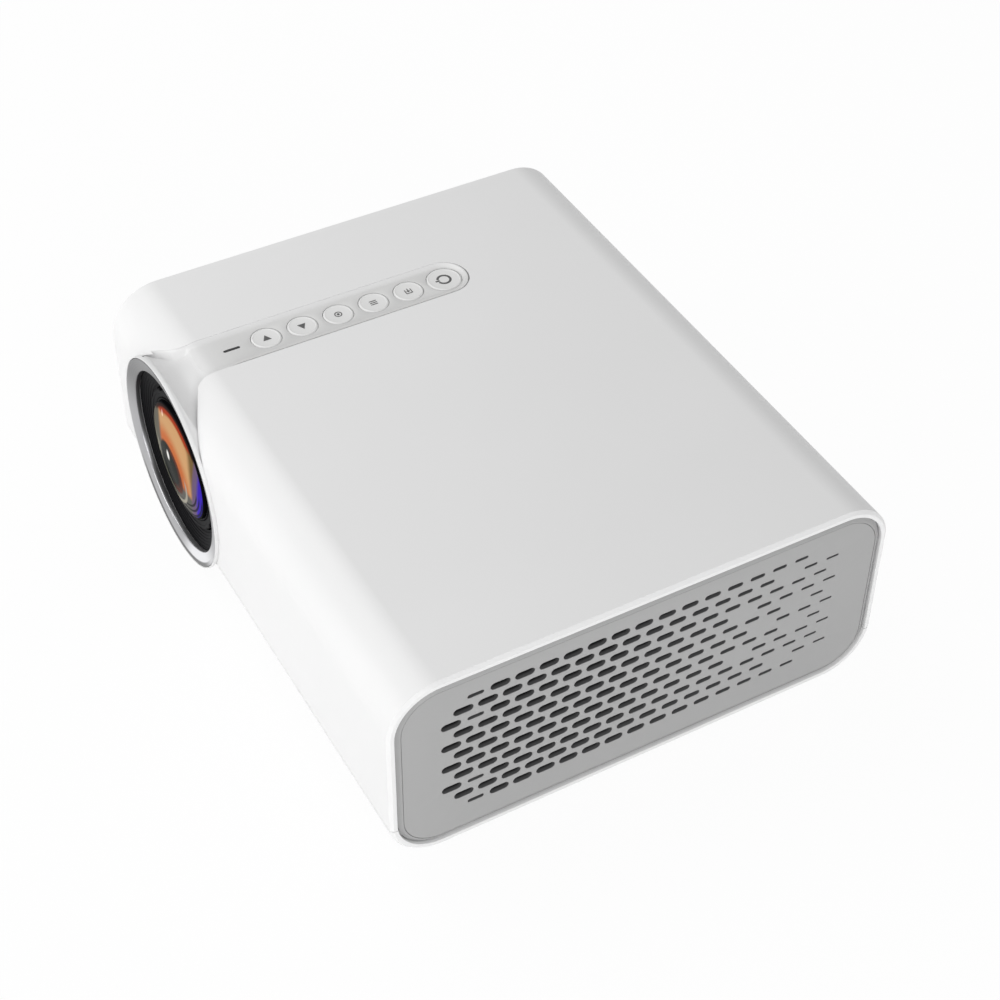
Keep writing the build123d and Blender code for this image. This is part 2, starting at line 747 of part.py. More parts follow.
z_inlet = z_base + inlet_height
y_inlet_face = y_rear - 0.3
with BuildPart() as power_inlet:
    with BuildSketch(Plane.XZ.offset(-y_inlet_face)):
        with Locations((inlet_x, z_inlet)):
            RectangleRounded(inlet_width, inlet_tall, 3)
    extrude(amount=y_inlet_face - y_rear_in)
    block(
        inlet_x - inlet_width / 2 - 3, inlet_x + inlet_width / 2 + 3, y_rear_in - 16, y_rear_in,
        z_inlet - inlet_tall / 2 - 3, z_inlet + inlet_tall / 2 + 3,
    )
    with BuildSketch(Plane.XZ.offset(-y_inlet_face)):
        with Locations((inlet_x, z_inlet)):
            SlotOverall(inlet_recess_width, inlet_recess_tall)
    extrude(amount=inlet_recess_depth, mode=Mode.SUBTRACT)
    for side_x in (-1, 1):
        front_disc(
            inlet_x + side_x * inlet_pin_spread / 2, z_inlet,
            y_inlet_face - inlet_recess_depth - 1, y_inlet_face - 2.5, inlet_pin_radius,
        )
power_inlet.part.label = "power_inlet"
export_step(power_inlet.part, "parts/power_inlet.step")

# ---------------------------------------------------------------- keys and their board
key_places = dict(zip(("key_up", "key_down", "key_select", "key_menu", "key_source"), key_rows))
key_places["key_power"] = power_y
for key_name, key_y in key_places.items():
    cap_radius = power_key_radius if key_name == "key_power" else key_radius
    with BuildPart() as key:
        post(strip_x, key_y, z_key_low, z_strip + key_proud, cap_radius)
        chamfer(faces().sort_by(Axis.Z)[-1].edges(), 0.35)
        post(strip_x, key_y, z_key_low, z_key_flange, cap_radius + key_flange_extra)
        pillar(strip_x, key_y, z_stem, z_key_low, key_stem_half)
    key.part.label = key_name
    export_step(key.part, f"parts/{key_name}.step")

with BuildPart() as status_window:
    with BuildSketch(Plane.XY.offset(z_roof - strip_flange_thickness)):
        with Locations((strip_x, window_y)):
            SlotOverall(window_length, window_width, rotation=90)
    extrude(amount=z_strip - 0.05 - z_roof + strip_flange_thickness)
status_window.part.label = "status_window"
export_step(status_window.part, "parts/status_window.step")

with BuildPart() as keypad_board:
    block(
        strip_x - 11.5, strip_x + 11.5, window_y - 6, power_y + 9,
        z_keypad - board_thickness, z_keypad,
    )
    block(
        strip_x - 1.5, strip_x + 1.5, window_y - 2.5, window_y + 2.5,
        z_keypad, z_roof - strip_flange_thickness - fit_gap,
    )
keypad_board.part.label = "keypad_board"
export_step(keypad_board.part, "parts/keypad_board.step")

with BuildPart() as tact_switches:
    for y in key_places.values():
        pillar(strip_x, y, z_keypad, z_keypad + switch_body, switch_half)
        pillar(strip_x, y, z_keypad + switch_body, z_switch_top, key_stem_half)
tact_switches.part.label = "tact_switches"
export_step(tact_switches.part, "parts/tact_switches.step")

# ---------------------------------------------------------------- lens and light engine
with BuildPart() as focus_ring:
    y_tube = y_baffle + baffle_depth + 1.0
    turned(
        [
            (ring_inner_radius, y_ring),
            (ring_outer_radius - 0.8, y_ring),
            (ring_outer_radius, y_ring + 0.8),
            (ring_outer_radius, y_tube),
            (ring_inner_radius, y_tube),
        ]
    )
    with Locations(Location((lens_x, y_ring, lens_z), (90, 0, 0))):
        with PolarLocations(ring_outer_radius, 12, start_angle=15):
            Box(2.2, 1.8, 2.8, mode=Mode.SUBTRACT)
focus_ring.part.label = "focus_ring"
export_step(focus_ring.part, "parts/focus_ring.step")

y_barrel_back = y_engine + focus_travel + 1
with BuildPart() as lens_barrel:
    turned(
        [
            (barrel_radius, y_glass_rim - 0.7),
            (barrel_radius, y_barrel_back),
            (glass_radius - 2.2, y_barrel_back),
            (glass_radius - 2.2, y_glass_rim + glass_thickness),
            (glass_radius + 0.05, y_glass_rim + glass_thickness),
            (glass_radius + 0.05, y_glass_rim - 0.7),
        ]
    )
lens_barrel.part.label = "lens_barrel"
export_step(lens_barrel.part, "parts/lens_barrel.step")

with BuildPart() as front_lens:
    with BuildSketch(lens_half_plane):
        dome_radius = (glass_radius**2 + glass_dome**2) / (2 * glass_dome)
        dome_angle = degrees(asin(glass_radius / dome_radius))
        y_glass_back = y_glass_rim + glass_thickness
        with BuildLine():
            CenterArc((0, y_glass + dome_radius), dome_radius, -90, dome_angle)
            Line((glass_radius, y_glass_rim), (glass_radius, y_glass_back))
            Line((glass_radius, y_glass_back), (0, y_glass_back))
            Line((0, y_glass_back), (0, y_glass))
        make_face()
    revolve(axis=lens_axis)
front_lens.part.label = "front_lens"
export_step(front_lens.part, "parts/front_lens.step")

with BuildPart() as rear_lens:
    turned(
        [
            (0, y_barrel_back - 7),
            (glass_radius - 2.25, y_barrel_back - 5),
            (glass_radius - 2.25, y_barrel_back - 3),
            (0, y_barrel_back - 1),
        ]
    )
rear_lens.part.label = "rear_lens"
export_step(rear_lens.part, "parts/rear_lens.step")

with BuildPart() as engine_housing:
    block(engine_x0, engine_x1, y_engine, y_engine_back, z_engine_low, z_engine_top)
    block(
        engine_x0 + engine_wall, engine_x1 - engine_wall,
        y_engine + engine_wall, y_engine_back - engine_wall,
        z_engine_low + engine_wall, z_engine_top, mode=Mode.SUBTRACT,
    )
    front_disc(lens_x, lens_z, y_tube + fit_gap, y_engine, ring_inner_radius + focus_tube_wall)
    front_disc(lens_x, lens_z, y_tube, y_engine + engine_wall, ring_inner_radius, mode=Mode.SUBTRACT)
    block(
        lens_x - lamp_half - 1, lens_x + lamp_half + 1, y_engine_back - engine_wall, y_engine_back,
        lens_z - lamp_half - 1, lens_z + lamp_half + 1, mode=Mode.SUBTRACT,
    )
engine_housing.part.label = "engine_housing"
export_step(engine_housing.part, "parts/engine_housing.step")

with BuildPart() as engine_cover:
    block(engine_x0, engine_x1, y_engine, y_engine_back, z_engine_top, z_engine_top + engine_cover_thickness)
engine_cover.part.label = "engine_cover"
export_step(engine_cover.part, "parts/engine_cover.step")

z_engine_floor = z_engine_low + engine_wall
inner_half = engine_half - engine_wall - panel_window_gap
y_panel = y_engine + panel_share * engine_length
y_fresnel = y_engine + fresnel_share * engine_length
y_condenser = y_engine + condenser_share * engine_length
with BuildPart() as lcd_panel:
    block(
        lens_x - inner_half, lens_x + inner_half, y_panel, y_panel + panel_glass,
        z_engine_floor, z_engine_top - 0.4,
    )
lcd_panel.part.label = "lcd_panel"
export_step(lcd_panel.part, "parts/lcd_panel.step")

with BuildPart() as fresnel_lens:
    block(
        lens_x - inner_half, lens_x + inner_half, y_fresnel, y_fresnel + fresnel_thickness,
        z_engine_floor, z_engine_top - 0.4,
    )
fresnel_lens.part.label = "fresnel_lens"
export_step(fresnel_lens.part, "parts/fresnel_lens.step")

with BuildPart() as condenser_lens:
    block(
        lens_x - condenser_half, lens_x + condenser_half, y_condenser - 2, y_condenser,
        z_engine_floor, lens_z + condenser_half,
    )
    y_dome = y_condenser - 2
    turned(
        [
            (0, y_dome - condenser_dome),
            (condenser_radius * 0.56, y_dome - condenser_dome * 0.8),
            (condenser_radius * 0.92, y_dome - condenser_dome * 0.3),
            (condenser_radius, y_dome),
            (0, y_dome),
        ]
    )
condenser_lens.part.label = "condenser_lens"
export_step(condenser_lens.part, "parts/condenser_lens.step")

with BuildPart() as led_module:
    y_lamp = y_engine_back - lamp_plate
    block(lens_x - lamp_half, lens_x + lamp_half, y_lamp, y_engine_back, lens_z - lamp_half, lens_z + lamp_half)
    turned(
        [
            (0, y_lamp - lamp_dome),
            (lamp_dome_radius * 0.7, y_lamp - lamp_dome * 0.75),
            (lamp_dome_radius, y_lamp),
            (0, y_lamp),
        ]
    )
led_module.part.label = "led_module"
export_step(led_module.part, "parts/led_module.step")

with BuildPart() as heat_sink:
    sink_x0 = engine_x0 + sink_inset
    block(sink_x0, engine_x1, y_engine_back, y_engine_back + sink_base, lens_z - sink_half, lens_z + sink_half)
    for fin in range(sink_fins):
        z_fin = lens_z - sink_half + fin * (2 * sink_half - sink_fin_thickness) / (sink_fins - 1)
        block(
            sink_x0, engine_x1, y_engine_back + sink_base, y_engine_back + sink_depth,
            z_fin, z_fin + sink_fin_thickness,
        )
heat_sink.part.label = "heat_sink"
export_step(heat_sink.part, "parts/heat_sink.step")

# ---------------------------------------------------------------- fans
fan_places = {"intake": (x_fan_face - fan_depth, intake_fan_y), "exhaust": (-x_fan_face, exhaust_fan_y)}
for fan_name, (fan_x, fan_y) in fan_places.items():
    with BuildPart() as fan_frame:
        with BuildSketch(Plane.YZ.offset(fan_x)):
            with Locations((fan_y, z_mid)):
                RectangleRounded(fan_size, fan_size, 4)
                Circle(fan_bore_radius, mode=Mode.SUBTRACT)
        extrude(amount=fan_depth)
        with BuildSketch(Plane.YZ.offset(fan_x)):
            with Locations((fan_y, z_mid)):
                Circle(fan_hub_radius)
                with PolarLocations((fan_hub_radius + fan_bore_radius) / 2, 4, start_angle=45):
                    Rectangle(fan_bore_radius - fan_hub_radius + 2, 3)
        extrude(amount=fan_hub_plate)
        with BuildSketch(Plane.YZ.offset(fan_x)):
            with Locations((fan_y, z_mid)):
                Circle(shaft_radius + running_gap)
        extrude(amount=fan_hub_plate, mode=Mode.SUBTRACT)
    fan_frame.part.label = f"{fan_name}_fan_frame"
    export_step(fan_frame.part, f"parts/{fan_name}_fan_frame.step")

    with BuildPart() as fan_rotor:
        hub_start = fan_x + fan_hub_plate + 0.5
        hub_end = fan_x + fan_depth - 0.8
        with BuildSketch(Plane.YZ.offset(hub_start)):
            with Locations((fan_y, z_mid)):
                Circle(fan_hub_radius)
        extrude(amount=hub_end - hub_start)
        with BuildSketch(Plane.YZ.offset(fan_x + 0.3)):
            with Locations((fan_y, z_mid)):
                Circle(shaft_radius)
        extrude(amount=hub_start - fan_x - 0.3)
        fan_plane = Plane(
            origin=((hub_start + hub_end) / 2, fan_y, z_mid), x_dir=(0, 1, 0), z_dir=(1, 0, 0)
        )
        blade_start = fan_hub_radius - 1
        blade_end = fan_bore_radius - 0.7
        with Locations(fan_plane):
            with PolarLocations((blade_start + blade_end) / 2, fan_blades):
                with Locations(Location((0, 0, 0), (blade_pitch_angle, 0, 0))):
                    Box(blade_end - blade_start, blade_chord, blade_thickness)
    fan_rotor.part.label = f"{fan_name}_fan_rotor"
    export_step(fan_rotor.part, f"parts/{fan_name}_fan_rotor.step")

# ---------------------------------------------------------------- electronics
with BuildPart() as main_board:
    block(board_x0, board_x1, board_y0, board_y1, z_board, z_board_top)
main_board.part.label = "main_board"
export_step(main_board.part, "parts/main_board.step")

with BuildPart() as processor_heatsink:
    chip_x0 = board_x0 + 34
    chip_y0 = board_y0 + 38
    block(
        chip_x0, chip_x0 + processor_size, chip_y0, chip_y0 + processor_size,
        z_board_top, z_board_top + 3,
    )
    for fin in range(processor_fins):
        x_fin = chip_x0 + fin * (processor_size - 1.5) / (processor_fins - 1)
        block(x_fin, x_fin + 1.5, chip_y0, chip_y0 + processor_size, z_board_top + 3, z_board_top + 11)
processor_heatsink.part.label = "processor_heatsink"
export_step(processor_heatsink.part, "parts/processor_heatsink.step")

with BuildPart() as power_supply_board:
    block(psu_x0, psu_x1, psu_y0, psu_y1, z_psu, z_psu + board_thickness)
power_supply_board.part.label = "power_supply_board"
export_step(power_supply_board.part, "parts/power_supply_board.step")

with BuildPart() as transformer:
    core_x0 = psu_x0 + 14
    core_y0 = psu_y0 + 9
    core_x1 = core_x0 + transformer_width
    core_y1 = core_y0 + transformer_depth
    z_core_top = z_psu_top + transformer_height
    block(core_x0, core_x1, core_y0, core_y1, z_psu_top, z_psu_top + transformer_flange)
    block(core_x0 + 4, core_x1 - 4, core_y0 + 4, core_y1 - 4, z_psu_top, z_core_top)
    block(core_x0, core_x1, core_y0, core_y1, z_core_top - transformer_flange, z_core_top)
transformer.part.label = "transformer"
export_step(transformer.part, "parts/transformer.step")

with BuildPart() as capacitors:
    for (radius, tall), y, xs in (
        (large_capacitor, psu_y0 + 16, (58, 76)),
        (small_capacitor, psu_y1 - 9, (58, 72)),
    ):
        for x in xs:
            post(psu_x0 + x, y, z_psu_top, z_psu_top + tall, radius)
capacitors.part.label = "capacitors"
export_step(capacitors.part, "parts/capacitors.step")

speaker_y = y_mid + 26.25
speaker_z = z_drive_top + speaker_height / 2 + 5.0
with BuildPart() as speaker:
    with BuildSketch(Plane.YZ.offset(x_fan_face - 3)):
        with Locations((speaker_y, speaker_z)):
            RectangleRounded(speaker_length, speaker_height, speaker_height / 2 - 1)
            SlotOverall(speaker_length - 12, speaker_height - 10, mode=Mode.SUBTRACT)
    extrude(amount=3)
    with BuildSketch(Plane.YZ.offset(x_fan_face - 6)):
        with Locations((speaker_y, speaker_z)):
            SlotOverall(speaker_length - 8, speaker_height - 6)
    extrude(amount=3)
    with BuildSketch(Plane.YZ.offset(x_fan_face - speaker_depth)):
        with Locations((speaker_y, speaker_z)):
            Circle(speaker_height / 3)
    extrude(amount=speaker_depth - 6)
speaker.part.label = "speaker"
export_step(speaker.part, "parts/speaker.step")

# ---------------------------------------------------------------- disc drive
with BuildPart() as drive_chassis:
    block(drive_left, drive_right, y_drive_back, y_drive_front, z_drive, z_drive_top - 0.8)
    block(
        drive_left + sheet, drive_right - sheet, y_drive_back + sheet, y_drive_front,
        z_drive + sheet, z_drive_top, mode=Mode.SUBTRACT,
    )
drive_chassis.part.label = "drive_chassis"
export_step(drive_chassis.part, "parts/drive_chassis.step")

with BuildPart() as drive_cover:
    block(drive_left, drive_right, y_drive_back, y_drive_front, z_drive_top - 0.8, z_drive_top)
drive_cover.part.label = "drive_cover"
export_step(drive_cover.part, "parts/drive_cover.step")

z_rail = z_tray + (tray_height - rail_height) / 2
with BuildPart() as tray_rails:
    for x_rail in (drive_left + sheet + rail_gap, drive_right - sheet - rail_gap - rail_width):
        block(x_rail, x_rail + rail_width, y_tray_back, y_tray_front - 1, z_rail, z_rail + rail_height)
tray_rails.part.label = "tray_rails"
export_step(tray_rails.part, "parts/tray_rails.step")

tray_x0 = drive_mid_x - tray_half_width
tray_x1 = drive_mid_x + tray_half_width
z_cavity = z_well - tray_web
motor_ring_outer = turntable_radius + 1.6
z_motor_plate = z_tray + 0.2
with BuildPart() as disc_tray:
    block(tray_x0, tray_x1, y_tray_back, y_tray_front, z_tray, z_tray_top)
    block(
        tray_x0 + tray_wall, tray_x1 - tray_wall, y_tray_back + tray_wall, y_tray_front - tray_wall,
        z_tray, z_cavity, mode=Mode.SUBTRACT,
    )
    post(drive_mid_x, disc_y, z_well, z_tray_top, well_radius, mode=Mode.SUBTRACT)
    post(drive_mid_x, disc_y, z_well - 0.6, z_well, well_radius * 0.55, mode=Mode.SUBTRACT)
    post(drive_mid_x, disc_y, z_motor_plate + 1, z_cavity, motor_ring_outer)
    post(drive_mid_x, disc_y, z_tray, z_tray_top, turntable_radius + 0.5, mode=Mode.SUBTRACT)
    block(
        drive_mid_x + sled_start - 0.5, drive_mid_x + sled_start + sled_width + sled_travel + 0.5,
        disc_y - sled_length / 2 - 0.8, disc_y + sled_length / 2 + 0.8,
        z_cavity, z_tray_top, mode=Mode.SUBTRACT,
    )
disc_tray.part.label = "disc_tray"
export_step(disc_tray.part, "parts/disc_tray.step")

button_x = drive_mid_x + 45.0
z_button = z_bezel + bezel_height / 2
y_bezel = y_rear - bezel_setback
with BuildPart() as tray_bezel:
    block(
        drive_mid_x - bezel_half_width, drive_mid_x + bezel_half_width, y_tray_front, y_bezel,
        z_bezel, z_bezel + bezel_height,
    )
    fillet(edges().filter_by(Axis.Y), 1.5)
    chamfer(faces().sort_by(Axis.Y)[-1].edges(), 0.4)
    with BuildSketch(Plane.XZ.offset(-y_bezel)):
        with Locations((button_x, z_button)):
            RectangleRounded(7.0, 3.4, 1.2)
        with Locations((button_x - 12, z_button)):
            Circle(0.7)
    extrude(amount=y_bezel - y_tray_front, mode=Mode.SUBTRACT)
tray_bezel.part.label = "tray_bezel"
export_step(tray_bezel.part, "parts/tray_bezel.step")

with BuildPart() as eject_button:
    with BuildSketch(Plane.XZ.offset(-y_rear)):
        with Locations((button_x, z_button)):
            RectangleRounded(6.4, 2.8, 0.9)
    extrude(amount=y_rear - y_tray_front - 1.15)
eject_button.part.label = "eject_button"
export_step(eject_button.part, "parts/eject_button.step")

z_turntable = z_well - 0.7
with BuildPart() as spindle_motor:
    post(drive_mid_x, disc_y, z_motor_plate, z_motor_plate + 1, motor_ring_outer)
    post(drive_mid_x, disc_y, z_motor_plate + 1, z_turntable - 0.4, motor_radius)
    post(drive_mid_x, disc_y, z_motor_plate + 0.4, z_turntable, shaft_radius + running_gap, mode=Mode.SUBTRACT)
spindle_motor.part.label = "spindle_motor"
export_step(spindle_motor.part, "parts/spindle_motor.step")

with BuildPart() as spindle_hub:
    post(drive_mid_x, disc_y, z_motor_plate + 0.7, z_turntable, shaft_radius)
    post(drive_mid_x, disc_y, z_turntable, z_well + 0.4, turntable_radius)
    post(drive_mid_x, disc_y, z_well + 0.4, z_tray_top + 0.7, hub_radius)
    chamfer(faces().sort_by(Axis.Z)[-1].edges(), 1.0)
spindle_hub.part.label = "spindle_hub"
export_step(spindle_hub.part, "parts/spindle_hub.step")

z_rod = z_cavity - 2.1
sled_x0 = drive_mid_x + sled_start
with BuildPart() as pickup_sled:
    block(
        sled_x0, sled_x0 + sled_width, disc_y - sled_length / 2, disc_y + sled_length / 2,
        z_rod - 1.7, z_rod + 1.7,
    )
    block(sled_x0 + 0.8, sled_x0 + sled_width - 0.8, disc_y - 9, disc_y + 9, z_rod + 1.7, z_well - 0.6)
    post(sled_x0 + sled_width / 2, disc_y, z_well - 0.6, z_well - 0.1, 3.0)
    for side_y in (-rod_spread, rod_spread):
        with BuildSketch(Plane.YZ.offset(sled_x0)):
            with Locations((disc_y + side_y, z_rod)):
                Circle(rod_radius + running_gap)
        extrude(amount=sled_width, mode=Mode.SUBTRACT)
pickup_sled.part.label = "pickup_sled"
export_step(pickup_sled.part, "parts/pickup_sled.step")

rod_start = sqrt(motor_ring_outer**2 - (rod_spread - rod_radius) ** 2) + close_gap
with BuildPart() as sled_guide_rods:
    for side_y in (-rod_spread, rod_spread):
        with BuildSketch(Plane.YZ.offset(drive_mid_x + rod_start)):
            with Locations((disc_y + side_y, z_rod)):
                Circle(rod_radius)
        extrude(amount=tray_half_width - tray_wall - rod_start - close_gap)
sled_guide_rods.part.label = "sled_guide_rods"
export_step(sled_guide_rods.part, "parts/sled_guide_rods.step")

# ---------------------------------------------------------------- base
with BuildPart() as rubber_feet:
    for x, y in foot_spots:
        post(x, y, 0, z_base + foot_recess, foot_radius)
    chamfer(edges().filter_by(GeomType.CIRCLE).group_by(Axis.Z)[0], 0.8)
rubber_feet.part.label = "rubber_feet"
export_step(rubber_feet.part, "parts/rubber_feet.step")

z_pad = levelling_lift
with BuildPart() as foot_pad:
    post(levelling_x, levelling_y, z_pad, z_pad + levelling_pad_height, levelling_pad_radius)
    post(
        levelling_x, levelling_y, z_pad + 0.8, z_pad + levelling_pad_height,
        levelling_screw_radius + running_gap, mode=Mode.SUBTRACT,
    )
foot_pad.part.label = "foot_pad"
export_step(foot_pad.part, "parts/foot_pad.step")

with BuildPart() as foot_screw:
    post(levelling_x, levelling_y, z_pad + 0.9, z_floor + 17.7, levelling_screw_radius)
    chamfer(faces().sort_by(Axis.Z)[-1].edges(), 0.6)
foot_screw.part.label = "foot_screw"
export_step(foot_screw.part, "parts/foot_screw.step")

with BuildPart() as tripod_insert:
    post(0, y_mid, z_base, z_base + tripod_depth + 1, tripod_radius + tripod_insert_wall - 0.02)
    post(0, y_mid, z_base, z_base + tripod_depth, tripod_radius, mode=Mode.SUBTRACT)
tripod_insert.part.label = "tripod_insert"
export_step(tripod_insert.part, "parts/tripod_insert.step")

with BuildPart() as case_screws:
    for x, y in case_screw_spots:
        post(x, y, z_base + 0.6, z_base + 0.6 + screw_head_height, screw_head_radius)
        post(x, y, z_base + 0.6 + screw_head_height, z_base + screw_length - 0.5, screw_radius)
case_screws.part.label = "case_screws"
export_step(case_screws.part, "parts/case_screws.step")
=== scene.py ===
import math

import bmesh
import bpy
import numpy as np
from mathutils import Matrix, Vector
from mathutils.geometry import delaunay_2d_cdt


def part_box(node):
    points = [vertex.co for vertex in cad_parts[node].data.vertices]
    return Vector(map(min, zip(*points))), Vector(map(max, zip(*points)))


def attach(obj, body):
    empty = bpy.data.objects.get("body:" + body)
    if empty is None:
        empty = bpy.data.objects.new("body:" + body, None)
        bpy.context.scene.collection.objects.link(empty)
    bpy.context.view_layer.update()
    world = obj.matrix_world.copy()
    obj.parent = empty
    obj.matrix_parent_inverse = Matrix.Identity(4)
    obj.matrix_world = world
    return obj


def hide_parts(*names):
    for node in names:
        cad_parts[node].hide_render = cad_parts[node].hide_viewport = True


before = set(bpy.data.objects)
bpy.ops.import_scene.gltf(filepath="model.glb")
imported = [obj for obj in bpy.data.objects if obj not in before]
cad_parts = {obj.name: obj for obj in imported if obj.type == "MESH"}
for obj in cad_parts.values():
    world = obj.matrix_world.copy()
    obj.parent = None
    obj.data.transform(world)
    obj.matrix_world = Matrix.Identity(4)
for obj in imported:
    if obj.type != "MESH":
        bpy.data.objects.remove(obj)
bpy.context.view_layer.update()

MM = 0.001  # one millimetre in metres
ROOT = "root"
KEY_PROUD = 0.2  # height of a key above the strip, in millimetres
CASING_CORNER = 20.0  # radius of the casing's long edges, in millimetres
SLOT_ROWS = 11  # rows of slots in each vented end plate
FIRST_ROW, ROW_STEP = 13.06, 5.396  # first row below the casing's top, and row to row, in millimetres
SLOT_HEIGHT = 3.1  # height of a full slot, in millimetres
KEYS = ("key_up", "key_down", "key_select", "key_menu", "key_source", "key_power")


# ------------------------------------------------------------ material maths
class Num:
    """A number that varies over a surface. Arithmetic on it adds Math nodes."""

    def __init__(self, finish, socket):
        self.finish = finish
        self.socket = socket

    def __add__(self, other):
        return self.finish.math("ADD", self, other)

    def __sub__(self, other):
        return self.finish.math("SUBTRACT", self, other)

    def __mul__(self, other):
        return self.finish.math("MULTIPLY", self, other)

    def __truediv__(self, other):
        return self.finish.math("DIVIDE", self, other)

    def __rsub__(self, other):
        return self.finish.math("SUBTRACT", other, self)

    def __pow__(self, other):
        return self.finish.math("POWER", self, other)

    __radd__ = __add__
    __rmul__ = __mul__


class Finish:
    """A material on a Principled shader, with its patterns in millimetres of object space."""

    def __init__(self, name, colour, roughness, metallic=0.0, **constants):
        self.material = bpy.data.materials.new(name)
        self.material.use_nodes = True
        self.tree = self.material.node_tree
        self.shader = self.tree.nodes["Principled BSDF"]
        self.set("Base Color", (*colour, 1.0))
        self.set("Roughness", roughness)
        self.set("Metallic", metallic)
        for socket_name, value in constants.items():
            self.set(socket_name.replace("_", " "), value)
        self.material.diffuse_color = (*colour, 1.0)

    def node(self, kind, settings=(), sockets=()):
        """Any node: its settings are set first, then the values or links of its sockets."""
        made = self.tree.nodes.new(kind)
        for key, value in dict(settings).items():
            setattr(made, key, value)
        for key, value in dict(sockets).items():
            self.feed(made.inputs[key], value)
        return made

    def feed(self, socket, value):
        """Links a socket to a value that varies, or sets it to a plain one."""
        if isinstance(value, Num):
            value = value.socket
        if isinstance(value, bpy.types.NodeSocket):
            self.tree.links.new(value, socket)
        else:
            socket.default_value = value

    def set(self, socket_name, value):
        """Sets or links one of the shader's own sockets."""
        self.feed(self.shader.inputs[socket_name], value)

    def math(self, operation, *values):
        """Result of one operation on numbers."""
        made = self.node("ShaderNodeMath", {"operation": operation}, enumerate(values))
        return Num(self, made.outputs[0])

    def place(self):
        """The point on the surface, in metres."""
        return self.node("ShaderNodeTexCoord").outputs["Object"]

    def axes(self, centre=(0, 0, 0)):
        """The point's three coordinates from a centre, in millimetres."""
        parts = self.node("ShaderNodeSeparateXYZ", (), {0: self.place()}).outputs
        return [(Num(self, out) - c) * 1000 for out, c in zip(parts, centre)]

    def noise(self, size, detail=2.0, stretch=(1, 1, 1)):
        """Soft noise with features of that size in millimetres, drawn out along the stretched axes."""
        scale = tuple(1 / (size * MM * s) for s in stretch)
        moved = self.node("ShaderNodeMapping", (), {"Vector": self.place(), "Scale": scale})
        sockets = {"Vector": moved.outputs[0], "Scale": 1.0, "Detail": detail}
        made = self.node("ShaderNodeTexNoise", (), sockets)
        return Num(self, made.outputs["Fac"])

    def step(self, value, low, high, out_low=0.0, out_high=1.0):
        """Smooth step of value from low to high, to a result from out_low to out_high."""
        made = self.node(
            "ShaderNodeMapRange",
            {"interpolation_type": "SMOOTHSTEP"},
            {"Value": value, "From Min": low, "From Max": high, "To Min": out_low, "To Max": out_high},
        )
        return Num(self, made.outputs["Result"])

    def blend(self, share, first, second):
        """Colour between two colours."""
        made = self.node("ShaderNodeMix", {"data_type": "RGBA"}, {"Factor": share})
        for socket, colour in ((made.inputs[6], first), (made.inputs[7], second)):
            self.feed(socket, colour if isinstance(colour, bpy.types.NodeSocket) else (*colour, 1.0))
        return made.outputs[2]

    def relief(self, height, depth):
        """Bump of that depth in millimetres where height goes from 0 to 1."""
        made = self.node("ShaderNodeBump", (), {"Height": height, "Strength": 1.0, "Distance": depth * MM})
        self.set("Normal", made.outputs[0])


def shade(colour, factor):
    """Colour made darker or paler by a factor."""
    return tuple(min(1.0, c * factor) for c in colour)


def moulded(name, colour, roughness=0.42, grain=0.3, depth=0.01, tone=0.012, **constants):
    """Moulded plastic: fine spark-eroded grain, and a slight drift of tone and gloss across the piece."""
    finish = Finish(name, colour, roughness, **constants)
    drift = finish.noise(55, 1.0)
    finish.set("Base Color", finish.blend(drift, shade(colour, 1 - tone), shade(colour, 1 + tone)))
    grains = finish.noise(grain, 3.0)
    finish.set("Roughness", finish.step(grains + drift * 0.4, 0.35, 1.0, roughness - 0.04, roughness + 0.06))
    finish.relief(grains, depth)
    return finish.material


def brushed(name, colour, roughness, along=(1, 25, 1), size=0.12, depth=0.004):
    """Rolled or brushed metal: long fine lines along one axis."""
    finish = Finish(name, colour, roughness, metallic=1.0)
    lines = finish.noise(size, 3.0, along)
    clouds = finish.noise(14, 2.0)
    finish.set("Base Color", finish.blend(lines, shade(colour, 0.88), shade(colour, 1.08)))
    wear = lines * 0.6 + clouds * 0.4
    finish.set("Roughness", finish.step(wear, 0.25, 0.75, roughness - 0.07, roughness + 0.1))
    finish.relief(lines, depth)
    return finish.material


def circuit_board(name, mask, copper, pitch=1.9):
    """Solder mask over copper: patches of paler stepped tracks, and a few bright pads on a square pitch."""
    finish = Finish(name, mask, 0.38, Coat_Weight=0.3)
    x, y, _ = finish.axes()
    wander = finish.noise(9, 0.0)
    rows = finish.math("PINGPONG", y + finish.step(wander, 0.48, 0.52, 0, pitch), pitch / 2)
    tracks = finish.step(rows, pitch * 0.17, pitch * 0.2, 1.0, 0.0)
    tracks = tracks * finish.step(finish.noise(16, 0.0), 0.42, 0.44)
    pads_x = finish.math("PINGPONG", x, pitch)
    pads_y = finish.math("PINGPONG", y, pitch)
    ring = finish.math("SQRT", pads_x ** 2 + pads_y ** 2)
    pads = finish.step(ring, 0.34, 0.4, 1.0, 0.0) * finish.step(finish.noise(7, 0.0), 0.55, 0.57)
    tone = finish.blend(tracks, mask, shade(mask, 1.7))
    finish.set("Base Color", finish.blend(pads, tone, copper))
    finish.set("Metallic", pads)
    finish.relief(tracks + pads, 0.03)
    return finish.material


